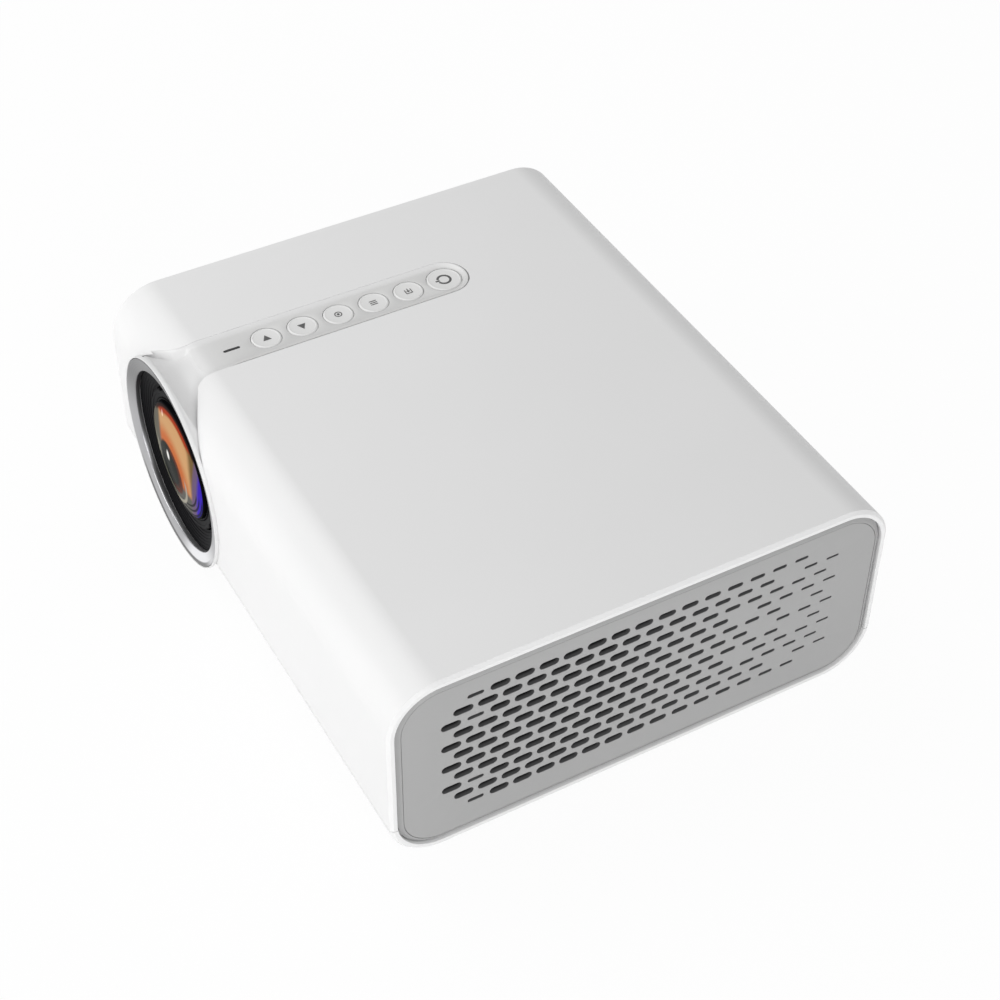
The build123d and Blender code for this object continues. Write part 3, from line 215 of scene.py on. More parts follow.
def turned_metal(name, colour, roughness, centre, pitch=0.9):
    """Satin ring turned about the lens axis, with light painted into its colour: painted shade above, a
    painted highlight low by the vented end, and painted shade on its low rim.
    """
    finish = Finish(name, colour, roughness, metallic=1.0)
    x, _, z = finish.axes(centre)
    radius = finish.math("SQRT", x * x + z * z)
    rings = finish.math("PINGPONG", radius, pitch / 2) / (pitch / 2)
    # Painted shade: the upper part of the ring is darkened.
    tone = finish.blend(finish.step(z, -6.0, 24.0), colour, shade(colour, 0.4))
    # Painted highlight: the ring is brightened low down by the vented end.
    low = finish.step(x, 0.0, 14.0) * finish.step(z * -1, 12.0, 30.0)
    tone = finish.blend(low, tone, shade(colour, 1.95))
    # Painted shade on the ring's lowest rim.
    under = finish.step(radius, 40.4, 41.2) * finish.step(z * -1, 20.0, 32.0)
    finish.set("Base Color", finish.blend(under, tone, shade(colour, 0.3)))
    finish.set("Roughness", finish.step(rings, 0.2, 0.8, roughness - 0.015, roughness + 0.015))
    return finish.material


def strip_place():
    """Middle x, power key y and surface z of the key strip, in millimetres."""
    low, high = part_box("key_power")
    return (low.x + high.x) / 2 / MM, (low.y + high.y) / 2 / MM, high.z / MM - KEY_PROUD


def strip_paint():
    """White of the hood, a little greyer on the key strip. The grey fades out at the strip's far side."""
    white_tone, grey_tone = (0.76, 0.76, 0.76), (0.665, 0.665, 0.66)
    finish = Finish("hood_white", white_tone, 0.42)
    strip_x, power_y, _ = strip_place()
    x, y, _ = finish.axes((strip_x * MM, power_y * MM, 0.0))
    beyond = finish.math("MAXIMUM", y, 0.0)
    reach = finish.math("SQRT", x * x + beyond * beyond)
    far = finish.step(reach, 6.5, 10.0) * finish.step(x, -6.0, 2.0, 1.0, 0.0)
    grey = finish.step(y, -109.0, -90.0) * (1 - far)
    finish.set("Base Color", finish.blend(grey, white_tone, grey_tone))
    grains = finish.noise(0.22, 3.0)
    finish.set("Roughness", finish.step(grains, 0.35, 1.0, 0.38, 0.48))
    finish.relief(grains, 0.006)
    return finish.material


# ------------------------------------------------------------ surfaces
def keep(name, mesh, material, body, replaced=(), smooth=35.0):
    """Puts a finished mesh in the scene as a piece that rides on a body."""
    mesh.shade_smooth()
    mesh.set_sharp_from_angle(angle=math.radians(smooth))
    piece = bpy.data.objects.new(name, mesh)
    bpy.context.scene.collection.objects.link(piece)
    mesh.materials.clear()
    mesh.materials.append(material)
    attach(piece, body)
    if replaced:
        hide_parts(*replaced)


def grid_mesh(name, points, wrap_u=False, wrap_v=False):
    """Quads over a grid of points (rows u, columns v, xyz), closed on itself where it wraps."""
    rows, columns, _ = points.shape
    u = np.arange(rows if wrap_u else rows - 1)
    v = np.arange(columns if wrap_v else columns - 1)
    a, b = np.meshgrid(u, v, indexing="ij")

    def corner(du, dv):
        return ((a + du) % rows) * columns + (b + dv) % columns

    faces = np.stack([corner(0, 0), corner(1, 0), corner(1, 1), corner(0, 1)], -1).reshape(-1, 4)
    mesh = bpy.data.meshes.new(name)
    mesh.from_pydata(points.reshape(-1, 3).tolist(), [], faces.tolist())
    return mesh


def clean(mesh):
    """Merges doubled points at seams and poles, and turns the faces outwards."""
    work = bmesh.new()
    work.from_mesh(mesh)
    bmesh.ops.remove_doubles(work, verts=work.verts, dist=1e-7)
    bmesh.ops.dissolve_degenerate(work, dist=1e-8, edges=work.edges)
    bmesh.ops.recalc_face_normals(work, faces=work.faces)
    work.to_mesh(mesh)
    work.free()
    return mesh


def smooth_share(value):
    """Smooth step from 0 to 1 of a value clipped to that range."""
    value = np.clip(value, 0, 1)
    return value * value * (3 - 2 * value)


def softened(points, radius, steps=5):
    """Closed outline with each corner drawn as an arc that leaves both sides at the same distance.

    A corner turns from one side to the other along a quadratic curve through the points at that distance.
    """
    points = np.asarray(points, float)
    before = np.roll(points, 1, 0) - points
    after = np.roll(points, -1, 0) - points
    len_before = np.linalg.norm(before, axis=1, keepdims=True)
    len_after = np.linalg.norm(after, axis=1, keepdims=True)
    wished = np.broadcast_to(np.reshape(radius, (-1, 1)), len_before.shape)
    reach = np.minimum(wished, 0.49 * np.minimum(len_before, len_after))
    start = points + before / len_before * reach
    end = points + after / len_after * reach
    t = np.linspace(0, 1, steps)[None, :, None]
    arc = start[:, None] * (1 - t) ** 2 + 2 * points[:, None] * t * (1 - t) + end[:, None] * t**2
    return arc.reshape(-1, 2)


def spun(name, profile, centre, segments=160):
    """Solid of revolution about a line along Y: each (radius, y) point is carried round the lens axis."""
    profile = np.asarray(profile, float)
    turn = np.linspace(0, 2 * math.pi, segments, endpoint=False)
    radius, y = profile[:, 0:1], profile[:, 1:2]
    points = np.stack(
        [
            centre[0] + radius * np.cos(turn) * MM,
            np.broadcast_to(y * MM, (len(profile), segments)),
            centre[2] + radius * np.sin(turn) * MM,
        ],
        -1,
    )
    return clean(grid_mesh(name, points, wrap_u=True, wrap_v=True))


def rounded_loop(half_y, half_z, radius, steps=12):
    """Rounded rectangle about the origin as (y, z) points, a quarter circle at each corner."""
    turn = np.linspace(0, math.pi / 2, steps)
    quarters = []
    for index, (sy, sz) in enumerate(((1, 1), (-1, 1), (-1, -1), (1, -1))):
        angle = turn + index * math.pi / 2
        middle = np.array([sy * (half_y - radius), sz * (half_z - radius)])
        quarters.append(middle + radius * np.stack([np.cos(angle), np.sin(angle)], -1))
    return np.concatenate(quarters)


def stadium(length, height, steps=7):
    """Slot with half-circle ends as (y, z) points about the origin."""
    half = (length - height) / 2
    turn = np.linspace(-math.pi / 2, math.pi / 2, steps)
    right = np.stack([half + height / 2 * np.cos(turn), height / 2 * np.sin(turn)], -1)
    return np.concatenate([right, -right])


def printed_plate(name, outline, thickness, edge, frame_of_plate):
    """Thin flat plate filled inside an outline, with its rim rounded by edge.

    The outline is (x, y) points in millimetres. The plate is made flat, and frame_of_plate puts it in place.
    """
    curve = bpy.data.curves.new(name, "CURVE")
    curve.dimensions = "2D"
    curve.fill_mode = "BOTH"
    curve.extrude = thickness / 2 - edge
    curve.bevel_depth = edge
    curve.bevel_resolution = 1
    curve.offset = -edge
    spline = curve.splines.new("POLY")
    spline.points.add(len(outline) - 1)
    flat = np.concatenate([outline, np.zeros((len(outline), 1)), np.ones((len(outline), 1))], 1)
    spline.points.foreach_set("co", flat.ravel())
    spline.use_cyclic_u = True
    holder = bpy.data.objects.new(name + "_flat", curve)
    bpy.context.scene.collection.objects.link(holder)
    bpy.context.view_layer.update()
    mesh = bpy.data.meshes.new_from_object(holder.evaluated_get(bpy.context.evaluated_depsgraph_get()))
    bpy.data.objects.remove(holder)
    bpy.data.curves.remove(curve)
    mesh.transform(frame_of_plate)
    mesh.name = name
    return clean(mesh)


def polished(node, material, body, breaks=(), smooth=32.0):
    """Copy of a CAD node with its doubled points merged and flat areas joined, and chosen edges rounded.

    Each of the breaks is a rule on an edge's middle in millimetres, a width and a number of steps. The rule
    is asked only of edges whose faces turn by more than the sharp angle.
    """
    sharp = 0.6  # radians
    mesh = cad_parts[node].data.copy()
    work = bmesh.new()
    work.from_mesh(mesh)
    bmesh.ops.remove_doubles(work, verts=work.verts, dist=2e-6)
    bmesh.ops.dissolve_limit(
        work, angle_limit=math.radians(0.3), use_dissolve_boundaries=False, verts=work.verts, edges=work.edges
    )
    for rule, width, steps in breaks:
        chosen = []
        for edge in work.edges:
            if len(edge.link_faces) == 2 and edge.calc_face_angle() > sharp:
                if rule((edge.verts[0].co + edge.verts[1].co) / 2 / MM):
                    chosen.append(edge)
        bmesh.ops.bevel(
            work, geom=chosen, offset=width * MM, offset_type="OFFSET", segments=steps, profile=0.5,
            affect="EDGES", clamp_overlap=True,
        )
    work.to_mesh(mesh)
    work.free()
    for layer in list(mesh.attributes):
        if layer.name == "custom_normal":
            mesh.attributes.remove(layer)
    mesh.name = node + "_finished"
    keep(mesh.name, mesh, material, body, (node,), smooth)


# ------------------------------------------------------------ camera, light and floor
def camera():
    """Camera high in front of the vented corner, turned a little on its own axis as the picture is."""
    data = bpy.data.cameras.new("camera")
    data.lens = 74.76
    data.sensor_width = 36.0
    data.clip_start = 0.01
    data.clip_end = 20.0
    holder = bpy.data.objects.new("camera", data)
    bpy.context.scene.collection.objects.link(holder)
    right = (0.486956, 0.873383, 0.008681)
    down = (0.604063, -0.329584, -0.725591)
    forward = (-0.630858, 0.358575, -0.688072)
    place = (512.465 * MM, -281.517 * MM, 586.546 * MM)
    rows = [[right[i], -down[i], -forward[i], place[i]] for i in range(3)]
    holder.matrix_world = Matrix(rows + [[0, 0, 0, 1]])
    bpy.context.scene.camera = holder
    bpy.context.scene.view_settings.view_transform = "Standard"


def area_lamp(name, place, target, size, power):
    """Square lamp at a place and facing a target, in metres."""
    data = bpy.data.lights.new(name, "AREA")
    data.shape = "SQUARE"
    data.size = size
    data.energy = power
    holder = bpy.data.objects.new(name, data)
    bpy.context.scene.collection.objects.link(holder)
    aim = Vector(place) - Vector(target)
    holder.matrix_world = Matrix.Translation(place) @ aim.to_track_quat("Z", "Y").to_matrix().to_4x4()


def surroundings():
    """White all round for the camera and through glass, half as strong on the object and in reflections."""
    world = bpy.data.worlds.new("studio")
    bpy.context.scene.world = world
    world.use_nodes = True
    tree = world.node_tree
    background = tree.nodes["Background"]
    path = tree.nodes.new("ShaderNodeLightPath")
    seen = tree.nodes.new("ShaderNodeMath")
    seen.operation = "MAXIMUM"
    tree.links.new(path.outputs["Is Camera Ray"], seen.inputs[0])
    tree.links.new(path.outputs["Is Transmission Ray"], seen.inputs[1])
    strength = tree.nodes.new("ShaderNodeMapRange")
    tree.links.new(seen.outputs[0], strength.inputs["Value"])
    strength.inputs["To Min"].default_value = 0.5
    strength.inputs["To Max"].default_value = 1.0
    tree.links.new(strength.outputs[0], background.inputs["Strength"])
    background.inputs["Color"].default_value = (1, 1, 1, 1)
    area_lamp("front softbox", (-0.25, -1.45, 0.4), (0, 0, 0.04), 0.9, 9.0)
    area_lamp("top softbox", (-0.5, -0.25, 0.85), (0, 0, 0.06), 0.6, 2.5)
    area_lamp("end softbox", (1.55, -0.3, 0.5), (0, 0, 0.04), 0.8, 11.2)


def floor():
    """White floor that the object stands on. It keeps a soft share of the shadow."""
    finish = Finish("studio_floor", (0.9, 0.9, 0.9), 0.9)
    path = finish.node("ShaderNodeLightPath")
    seen = finish.math("MAXIMUM", path.outputs["Is Camera Ray"], path.outputs["Is Glossy Ray"])
    seen = finish.math("MAXIMUM", seen, path.outputs["Is Transmission Ray"])
    glow = finish.node("ShaderNodeEmission", (), {"Color": (1, 1, 1, 1), "Strength": 1.0})
    mixed = finish.node("ShaderNodeMixShader", (), {0: seen * 0.95})
    finish.feed(mixed.inputs[1], finish.shader.outputs[0])
    finish.feed(mixed.inputs[2], glow.outputs[0])
    finish.feed(finish.tree.nodes["Material Output"].inputs["Surface"], mixed.outputs[0])
    half_side, drop = 3, 0.0002
    side = np.linspace(-half_side, half_side, 7)
    x, y = np.meshgrid(side, side, indexing="ij")
    mesh = grid_mesh("studio_floor", np.stack([x, y, np.full_like(x, -drop)], -1))
    plate = bpy.data.objects.new("studio_floor", mesh)
    bpy.context.scene.collection.objects.link(plate)
    mesh.materials.append(finish.material)


# ------------------------------------------------------------ finishes
lens_low, lens_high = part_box("trim_ring")
lens_centre = tuple((lens_low + lens_high) / 2)
white = moulded("casing_white", (0.80, 0.80, 0.80))
strip_white = strip_paint()
key_white = moulded("key_white", (0.77, 0.77, 0.765), roughness=0.38, grain=0.2, depth=0.004)
bezel_white = moulded("bezel_white", (0.78, 0.78, 0.78), grain=0.2, depth=0.006)
matt_black = moulded("matt_black", (0.005, 0.005, 0.006), roughness=0.5, grain=0.25, depth=0.01, IOR=1.12)
engine_black = moulded("engine_black", (0.03, 0.03, 0.032), roughness=0.55, grain=0.4, depth=0.03)
socket_black = moulded("socket_black", (0.022, 0.022, 0.023), roughness=0.4)
tray_black = moulded("tray_black", (0.03, 0.03, 0.031), roughness=0.36, grain=0.25, depth=0.012)
window_black = Finish("window_black", (0.006, 0.006, 0.008), 0.08, Coat_Weight=1.0).material
silver = turned_metal("trim_silver", (0.44, 0.44, 0.45), 0.33, lens_centre)
zinc_sheet = brushed("zinc_sheet", (0.6, 0.61, 0.63), 0.34)
bright_steel = brushed("bright_steel", (0.72, 0.72, 0.73), 0.2, along=(1, 1, 14))
dark_steel = brushed("dark_steel", (0.16, 0.16, 0.17), 0.35, along=(1, 1, 8))
extruded = brushed("extruded_aluminium", (0.78, 0.79, 0.8), 0.3, along=(1, 40, 1))
brass = brushed("turned_brass", (0.78, 0.6, 0.3), 0.28, along=(8, 8, 1))
board_green = circuit_board("board_green", (0.012, 0.09, 0.04), (0.8, 0.6, 0.35))
rubber = moulded("foot_rubber", (0.03, 0.03, 0.03), roughness=0.75, grain=0.35, depth=0.03)
fan_black = moulded("fan_black", (0.02, 0.02, 0.02), roughness=0.45)
sleeve_blue = moulded("capacitor_sleeve", (0.03, 0.04, 0.12), roughness=0.25, grain=1.2)
tape_yellow = moulded("winding_tape", (0.55, 0.38, 0.06), roughness=0.3, grain=1.5)
lamp_white = moulded("lamp_white", (0.75, 0.72, 0.5), roughness=0.3)
panel_dark = Finish("panel_dark", (0.02, 0.022, 0.03), 0.1, Coat_Weight=0.6).material
print_grey = moulded("key_print", (0.10, 0.10, 0.10), roughness=0.5, grain=0.15, depth=0.004)


def vent_paint_and_painted_shade(name, low, high):
    """Grey paint on the outer face, with painted shade under it: dark between two depths under the outer
    face, and darker still deep in a slot.
    """
    finish = Finish(name, (0.36, 0.36, 0.36), 0.5)
    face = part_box("right_grille")[1].x
    x, _, _ = finish.axes()
    depth = face / MM - finish.math("ABSOLUTE", x)
    drift = finish.noise(40, 1.0)
    grains = finish.noise(0.3, 3.0)
    front = finish.blend(drift, (0.355, 0.355, 0.355), (0.37, 0.37, 0.37))
    # Painted shade: the walls under the face darken with depth, where shade falls inside the slots.
    wall = finish.blend(finish.step(depth, 1.0, 2.2), (0.115, 0.115, 0.118), (0.02, 0.02, 0.021))
    finish.set("Base Color", finish.blend(finish.step(depth, low, high), front, wall))
    finish.set("Roughness", finish.step(grains, 0.35, 0.8, 0.44, 0.56))
    finish.relief(grains, 0.008)
    return finish.material


# The plate turns to painted shade from 0.04 mm under its face, the border from 1 mm, where it falls into the
# gap.
vent_grey = vent_paint_and_painted_shade("grille_grey", 0.04, 0.28)
border_grey = vent_paint_and_painted_shade("grille_border_grey", 1.0, 1.25)


def painted_lens_reflections():
    """Coated front glass with its reflections painted into the colour: a painted amber reflection above, a
    painted violet reflection low toward the vented end, and a dark disc off centre where the painted
    reflections stop.

    A pale arc of painted reflection lies round the lower half of the disc, and fine dark rings lie low toward
    the vented end. Painted glints glow from the emission colour. Every zone is a smooth step of a distance on
    the lens face.
    """
    finish = Finish("lens_painted_reflections", (0.02, 0.02, 0.02), 0.12, Coat_Weight=0.06, Coat_IOR=1.2, IOR=1.02)
    x, _, z = finish.axes(lens_centre)
    radius = finish.math("SQRT", x * x + z * z)
    across, up = x + 6.5, z + 8.0
    disc = finish.math("SQRT", across * across + up * up)
    # Every colour zone below is a painted reflection on otherwise dark glass.
    base = finish.blend(finish.step(disc, 13.0, 22.0), (0.50, 0.125, 0.03), (0.55, 0.31, 0.14))
    base = finish.blend(finish.step(disc, 27.5, 33.0), base, (0.22, 0.11, 0.035))
    base = finish.blend(finish.step(x * -1, 13.0, 17.0), base, (0.11, 0.10, 0.075))
    base = finish.blend(finish.step(x, 11.5, 16.0), base, (0.16, 0.10, 0.035))
    # A painted red reflection near the top, and painted shade along the top edge.
    red = finish.step(radius, 18.5, 20.5) * finish.step(z, 14.0, 17.0)
    base = finish.blend(red, base, (0.34, 0.035, 0.008))
    shaded = finish.step(radius, 21.2, 22.7) * finish.step(z, 12.0, 15.0)
    base = finish.blend(shaded, base, (0.02, 0.004, 0.002))
    base = finish.blend(finish.step(z, -8.0, -12.0), base, (0.10, 0.097, 0.085))
    slant = x - z * 0.25
    base = finish.blend(finish.step(slant, 14.2, 16.6), base, (0.13, 0.085, 0.16))
    base = finish.blend(finish.step(slant, 18.0, 21.0), base, (0.035, 0.013, 0.42))
    rings = finish.math("PINGPONG", radius + 0.3, 1.1) / 1.1
    lower = finish.step(z, -2.0, -7.0) * finish.step(radius, 16.5, 17.5) * finish.step(x, 0.0, 4.0)
    base = finish.blend(lower * finish.step(rings, 0.4, 0.7) * 0.85, base, (0.006, 0.006, 0.01))
    halo = finish.step(finish.math("ABSOLUTE", disc - 14.6), 0.4, 1.1, 1.0, 0.0) * finish.step(z, -2.0, -8.0)
    base = finish.blend(halo, base, (0.34, 0.32, 0.26))
    # The dark disc is where the painted reflections stop.
    dark = finish.step(disc, 10.4, 12.2, 1.0, 0.0)
    warm = finish.step(disc, 6.5, 10.5) * finish.step(x, -9.0, -3.0)
    brown = finish.blend(warm, (0.005, 0.007, 0.004), (0.09, 0.018, 0.006))
    base = finish.blend(dark, base, brown)
    line = finish.step(finish.math("ABSOLUTE", radius - 22.3), 0.25, 0.6, 1.0, 0.0)
    line = line * finish.step(x, -2.0, -6.0)
    base = finish.blend(line * finish.step(z, 5.0, 0.0), base, (0.15, 0.15, 0.10))
    base = finish.blend(finish.step(radius, 23.1, 23.7), base, (0.004, 0.004, 0.005))
    finish.set("Base Color", base)

    def spot(at_x, at_z, size):
        aside, up = x - at_x, (z - at_z) * 0.6
        return finish.step(finish.math("SQRT", aside * aside + up * up), size * 0.4, size, 1.0, 0.0)

    # Painted highlights: a bright glint inside the disc and a faint one high up, glowing from the emission
    # colour.
    painted_glint = finish.math("MAXIMUM", spot(-8.3, -3.2, 1.9), spot(-10.8, 16.4, 1.3) * 0.35)
    finish.set("Emission Color", finish.blend(painted_glint, (0.0, 0.0, 0.0), (0.9, 0.88, 0.84)))
    finish.set("Emission Strength", 1.0)
    return finish.material


lens_reflection_paint = painted_lens_reflections()
clear_glass = Finish("clear_glass", (0.95, 0.97, 0.97), 0.02, Transmission_Weight=1.0, IOR=1.5).material

node_finish = {
    "upper_shell": white, "bottom_cover": white, "lens_hood": strip_white,
    "right_grille": vent_grey, "left_grille": vent_grey, "trim_ring": silver,
    "lens_baffle": matt_black, "focus_ring": matt_black, "lens_barrel": matt_black,
    "front_lens": clear_glass, "rear_lens": clear_glass,
    "condenser_lens": clear_glass, "fresnel_lens": clear_glass,
    "status_window": window_black, "ir_window": window_black,
    "io_panel": socket_black, "power_inlet": socket_black, "av_jacks": socket_black,
    "hdmi_socket": bright_steel, "usb_sockets": bright_steel,
    "main_board": board_green, "power_supply_board": board_green, "keypad_board": board_green,
    "tact_switches": matt_black, "engine_housing": engine_black, "engine_cover": engine_black,
    "lcd_panel": panel_dark, "led_module": lamp_white, "heat_sink": extruded, "processor_heatsink": extruded,
    "intake_fan_frame": fan_black, "exhaust_fan_frame": fan_black,
    "intake_fan_rotor": fan_black, "exhaust_fan_rotor": fan_black,
    "transformer": tape_yellow, "capacitors": sleeve_blue, "speaker": engine_black,
    "drive_chassis": zinc_sheet, "drive_cover": zinc_sheet, "tray_rails": zinc_sheet,
    "sled_guide_rods": bright_steel, "spindle_motor": zinc_sheet,
    "disc_tray": tray_black, "pickup_sled": tray_black, "spindle_hub": tray_black,
    "tray_bezel": bezel_white, "eject_button": bezel_white,
    "rubber_feet": rubber, "foot_pad": rubber, "case_screws": dark_steel, "foot_screw": dark_steel,
    "tripod_insert": brass,
}
for node_name in KEYS:
    node_finish[node_name] = key_white
for node_name, node_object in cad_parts.items():
    node_object.data.materials.clear()
    node_object.data.materials.append(node_finish[node_name])


# ------------------------------------------------------------ lens
def front_ring():
    """Satin bevel inside the hood's lip: a cone that falls back from a rounded edge to a rounded bore."""
    width = 5.5
    outer = (lens_high.x - lens_low.x) / 2 / MM
    inner = outer - width
    front = lens_low.y / MM
    back = lens_high.y / MM
    profile = softened(
        [
            (outer, front + 0.02), (outer, front + 0.97), (inner + 0.45, back - 1.2),
            (inner + 0.45, back), (inner, back), (inner, front + 1.22), (outer - 0.7, front),
        ],
        [0.25, 0.1, 0.1, 0.1, 0.15, 0.5, 0.3],
    )
    mesh = spun("silver_bevel", profile, lens_centre, 220)
    keep("silver_bevel", mesh, silver, ROOT, ("trim_ring",))


def stepped_baffle():
    """Black light trap: fine steps that go down like a stair towards the lens, each edge a little rounded."""
    low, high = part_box("lens_baffle")
    outer = (high.x - low.x) / 2 / MM
    front = low.y / MM
    back = high.y / MM
    ring_low, ring_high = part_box("focus_ring")
    clear, rim, treads, first_fall, tread_fall, riser, bore_depth = 0.4, 0.8, 6, 0.25, 0.36, 0.3, 2.6
    inner = (ring_high.x - ring_low.x) / 2 / MM + clear
    stair = [(outer, front)]
    for index in range(treads):
        radius = outer - rim - (outer - rim - inner) * (index + 1) / treads
        depth = front + first_fall + tread_fall * index
        stair += [(radius + 1.0, depth), (radius + 0.9, depth + riser)]
    stair += [(inner, front + bore_depth), (inner, back), (outer, back)]
    profile = softened(stair, 0.12, 3)
    mesh = spun("black_baffle", profile, lens_centre, 200)
    keep("black_baffle", mesh, matt_black, ROOT, ("lens_baffle",), 50)


def focus_grip():
    """Black ring round the glass: a rounded front edge, a plain flat and twelve shallow finger notches.

    The outer radius dips by a smooth step of the angle at each notch: radius = outer - depth * step. The dip
    fades out toward the ring's inside and behind the notch's length.
    """
    wall = 3.92
    notches, notch_half, notch_depth, notch_length = 12, 0.16, 0.75, 3.2
    notch_floor, fade_in, fade_back = 0.9, 0.6, 0.8
    low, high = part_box("focus_ring")
    outer = (high.x - low.x) / 2 / MM
    inner = outer - wall
    front = low.y / MM
    back = high.y / MM
    profile = softened(
        [
            (inner, front + 0.9), (inner + 0.5, front + 0.35), (outer - 1.9, front + 0.25),
            (outer - 1.7, front), (outer - 0.5, front), (outer, front + 0.5), (outer, back), (inner, back),
        ],
        [0.2, 0.2, 0.12, 0.12, 0.3, 0.3, 0.1, 0.1], 4,
    )
    turn = np.linspace(0, 2 * math.pi, 288, endpoint=False)
    phase = (turn * notches / (2 * math.pi) + 0.5) % 1.0 - 0.5
    notch = smooth_share(1 - np.abs(phase) / notch_half)
    share = np.clip((profile[:, 0:1] - (outer - notch_floor)) / fade_in, 0, 1)
    share = share * np.clip((front + notch_length - profile[:, 1:2]) / fade_back, 0, 1)
    radius = profile[:, 0:1] - notch_depth * notch * share
    y = np.broadcast_to(profile[:, 1:2], radius.shape)
    points = np.stack(
        [lens_centre[0] + radius * np.cos(turn) * MM, y * MM, lens_centre[2] + radius * np.sin(turn) * MM], -1
    )
    mesh = clean(grid_mesh("focus_grip", points, True, True))
    keep("focus_grip", mesh, matt_black, "focus_ring", ("focus_ring",), 40)


def barrel_and_glass():
    """Thick coated front glass, lens barrel with stepped inner rings, and the clear rear glass.

    Each glass face is a sphere cap: y = apex + R - sqrt(R^2 - r^2). R comes from the cap's width and height,
    but for the rear face of the front glass, where it is given.
    """
    low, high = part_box("front_lens")
    glass = (high.x - low.x) / 2 / MM
    apex = low.y / MM
    dome, edge_height, chamfer, rear_hollow, rear_sphere, well_depth = 1.3, 4.4, 0.4, 3.2, 60.0, 5.6
    rim = apex + dome
    sphere = (glass**2 + dome**2) / (2 * dome)

    def cap(radius, ball, start):
        return np.stack([radius, start + ball - np.sqrt(ball**2 - radius**2)], -1)

    r = np.linspace(0, glass - 0.25, 40)
    front = cap(r, sphere, apex)
    edge_back = rim + edge_height
    edge = np.array([[glass, rim + 0.25], [glass, edge_back], [glass - 1.2, edge_back + chamfer]])
    back = cap(r[::-1], rear_sphere, rim + rear_hollow)
    profile = np.concatenate([front, edge, back])
    mesh = spun("front_glass", profile, lens_centre, 128)
    keep("front_glass", mesh, lens_reflection_paint, "lens_barrel", ("front_lens",), 60)

    b_low, b_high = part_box("lens_barrel")
    outer = (b_high.x - b_low.x) / 2 / MM
    b_front, b_back = b_low.y / MM, b_high.y / MM
    well = rim + well_depth
    profile = softened(
        [
            (outer, b_front), (outer, b_back), (glass - 2.2, b_back), (glass - 2.2, well + 9.5),
            (glass - 4.6, well + 9.2), (glass - 4.6, well + 6.6), (glass - 3.0, well + 6.2),
            (glass - 3.0, well + 3.4), (glass - 1.6, well + 3.0), (glass - 1.6, well),
            (glass + 0.05, well), (glass + 0.05, b_front + 0.3), (outer - 0.45, b_front),
        ],
        0.15, 3,
    )
    mesh = spun("barrel_rings", profile, lens_centre, 160)
    keep("barrel_rings", mesh, matt_black, "lens_barrel", ("lens_barrel",), 45)

    r_low, r_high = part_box("rear_lens")
    half = (r_high.x - r_low.x) / 2 / MM
    r = np.linspace(0, half, 24)
    start, end = r_low.y / MM, r_high.y / MM
    rear_dome = 2.0
    ball = (half**2 + rear_dome**2) / (2 * rear_dome)
    behind = cap(r, ball, start)
    ahead = behind[::-1].copy()
    ahead[:, 1] = end - (ahead[:, 1] - start)
    profile = np.concatenate([behind, ahead])
    mesh = spun("rear_glass", profile, lens_centre, 96)
    keep("rear_glass", mesh, clear_glass, "lens_barrel", ("rear_lens",), 60)


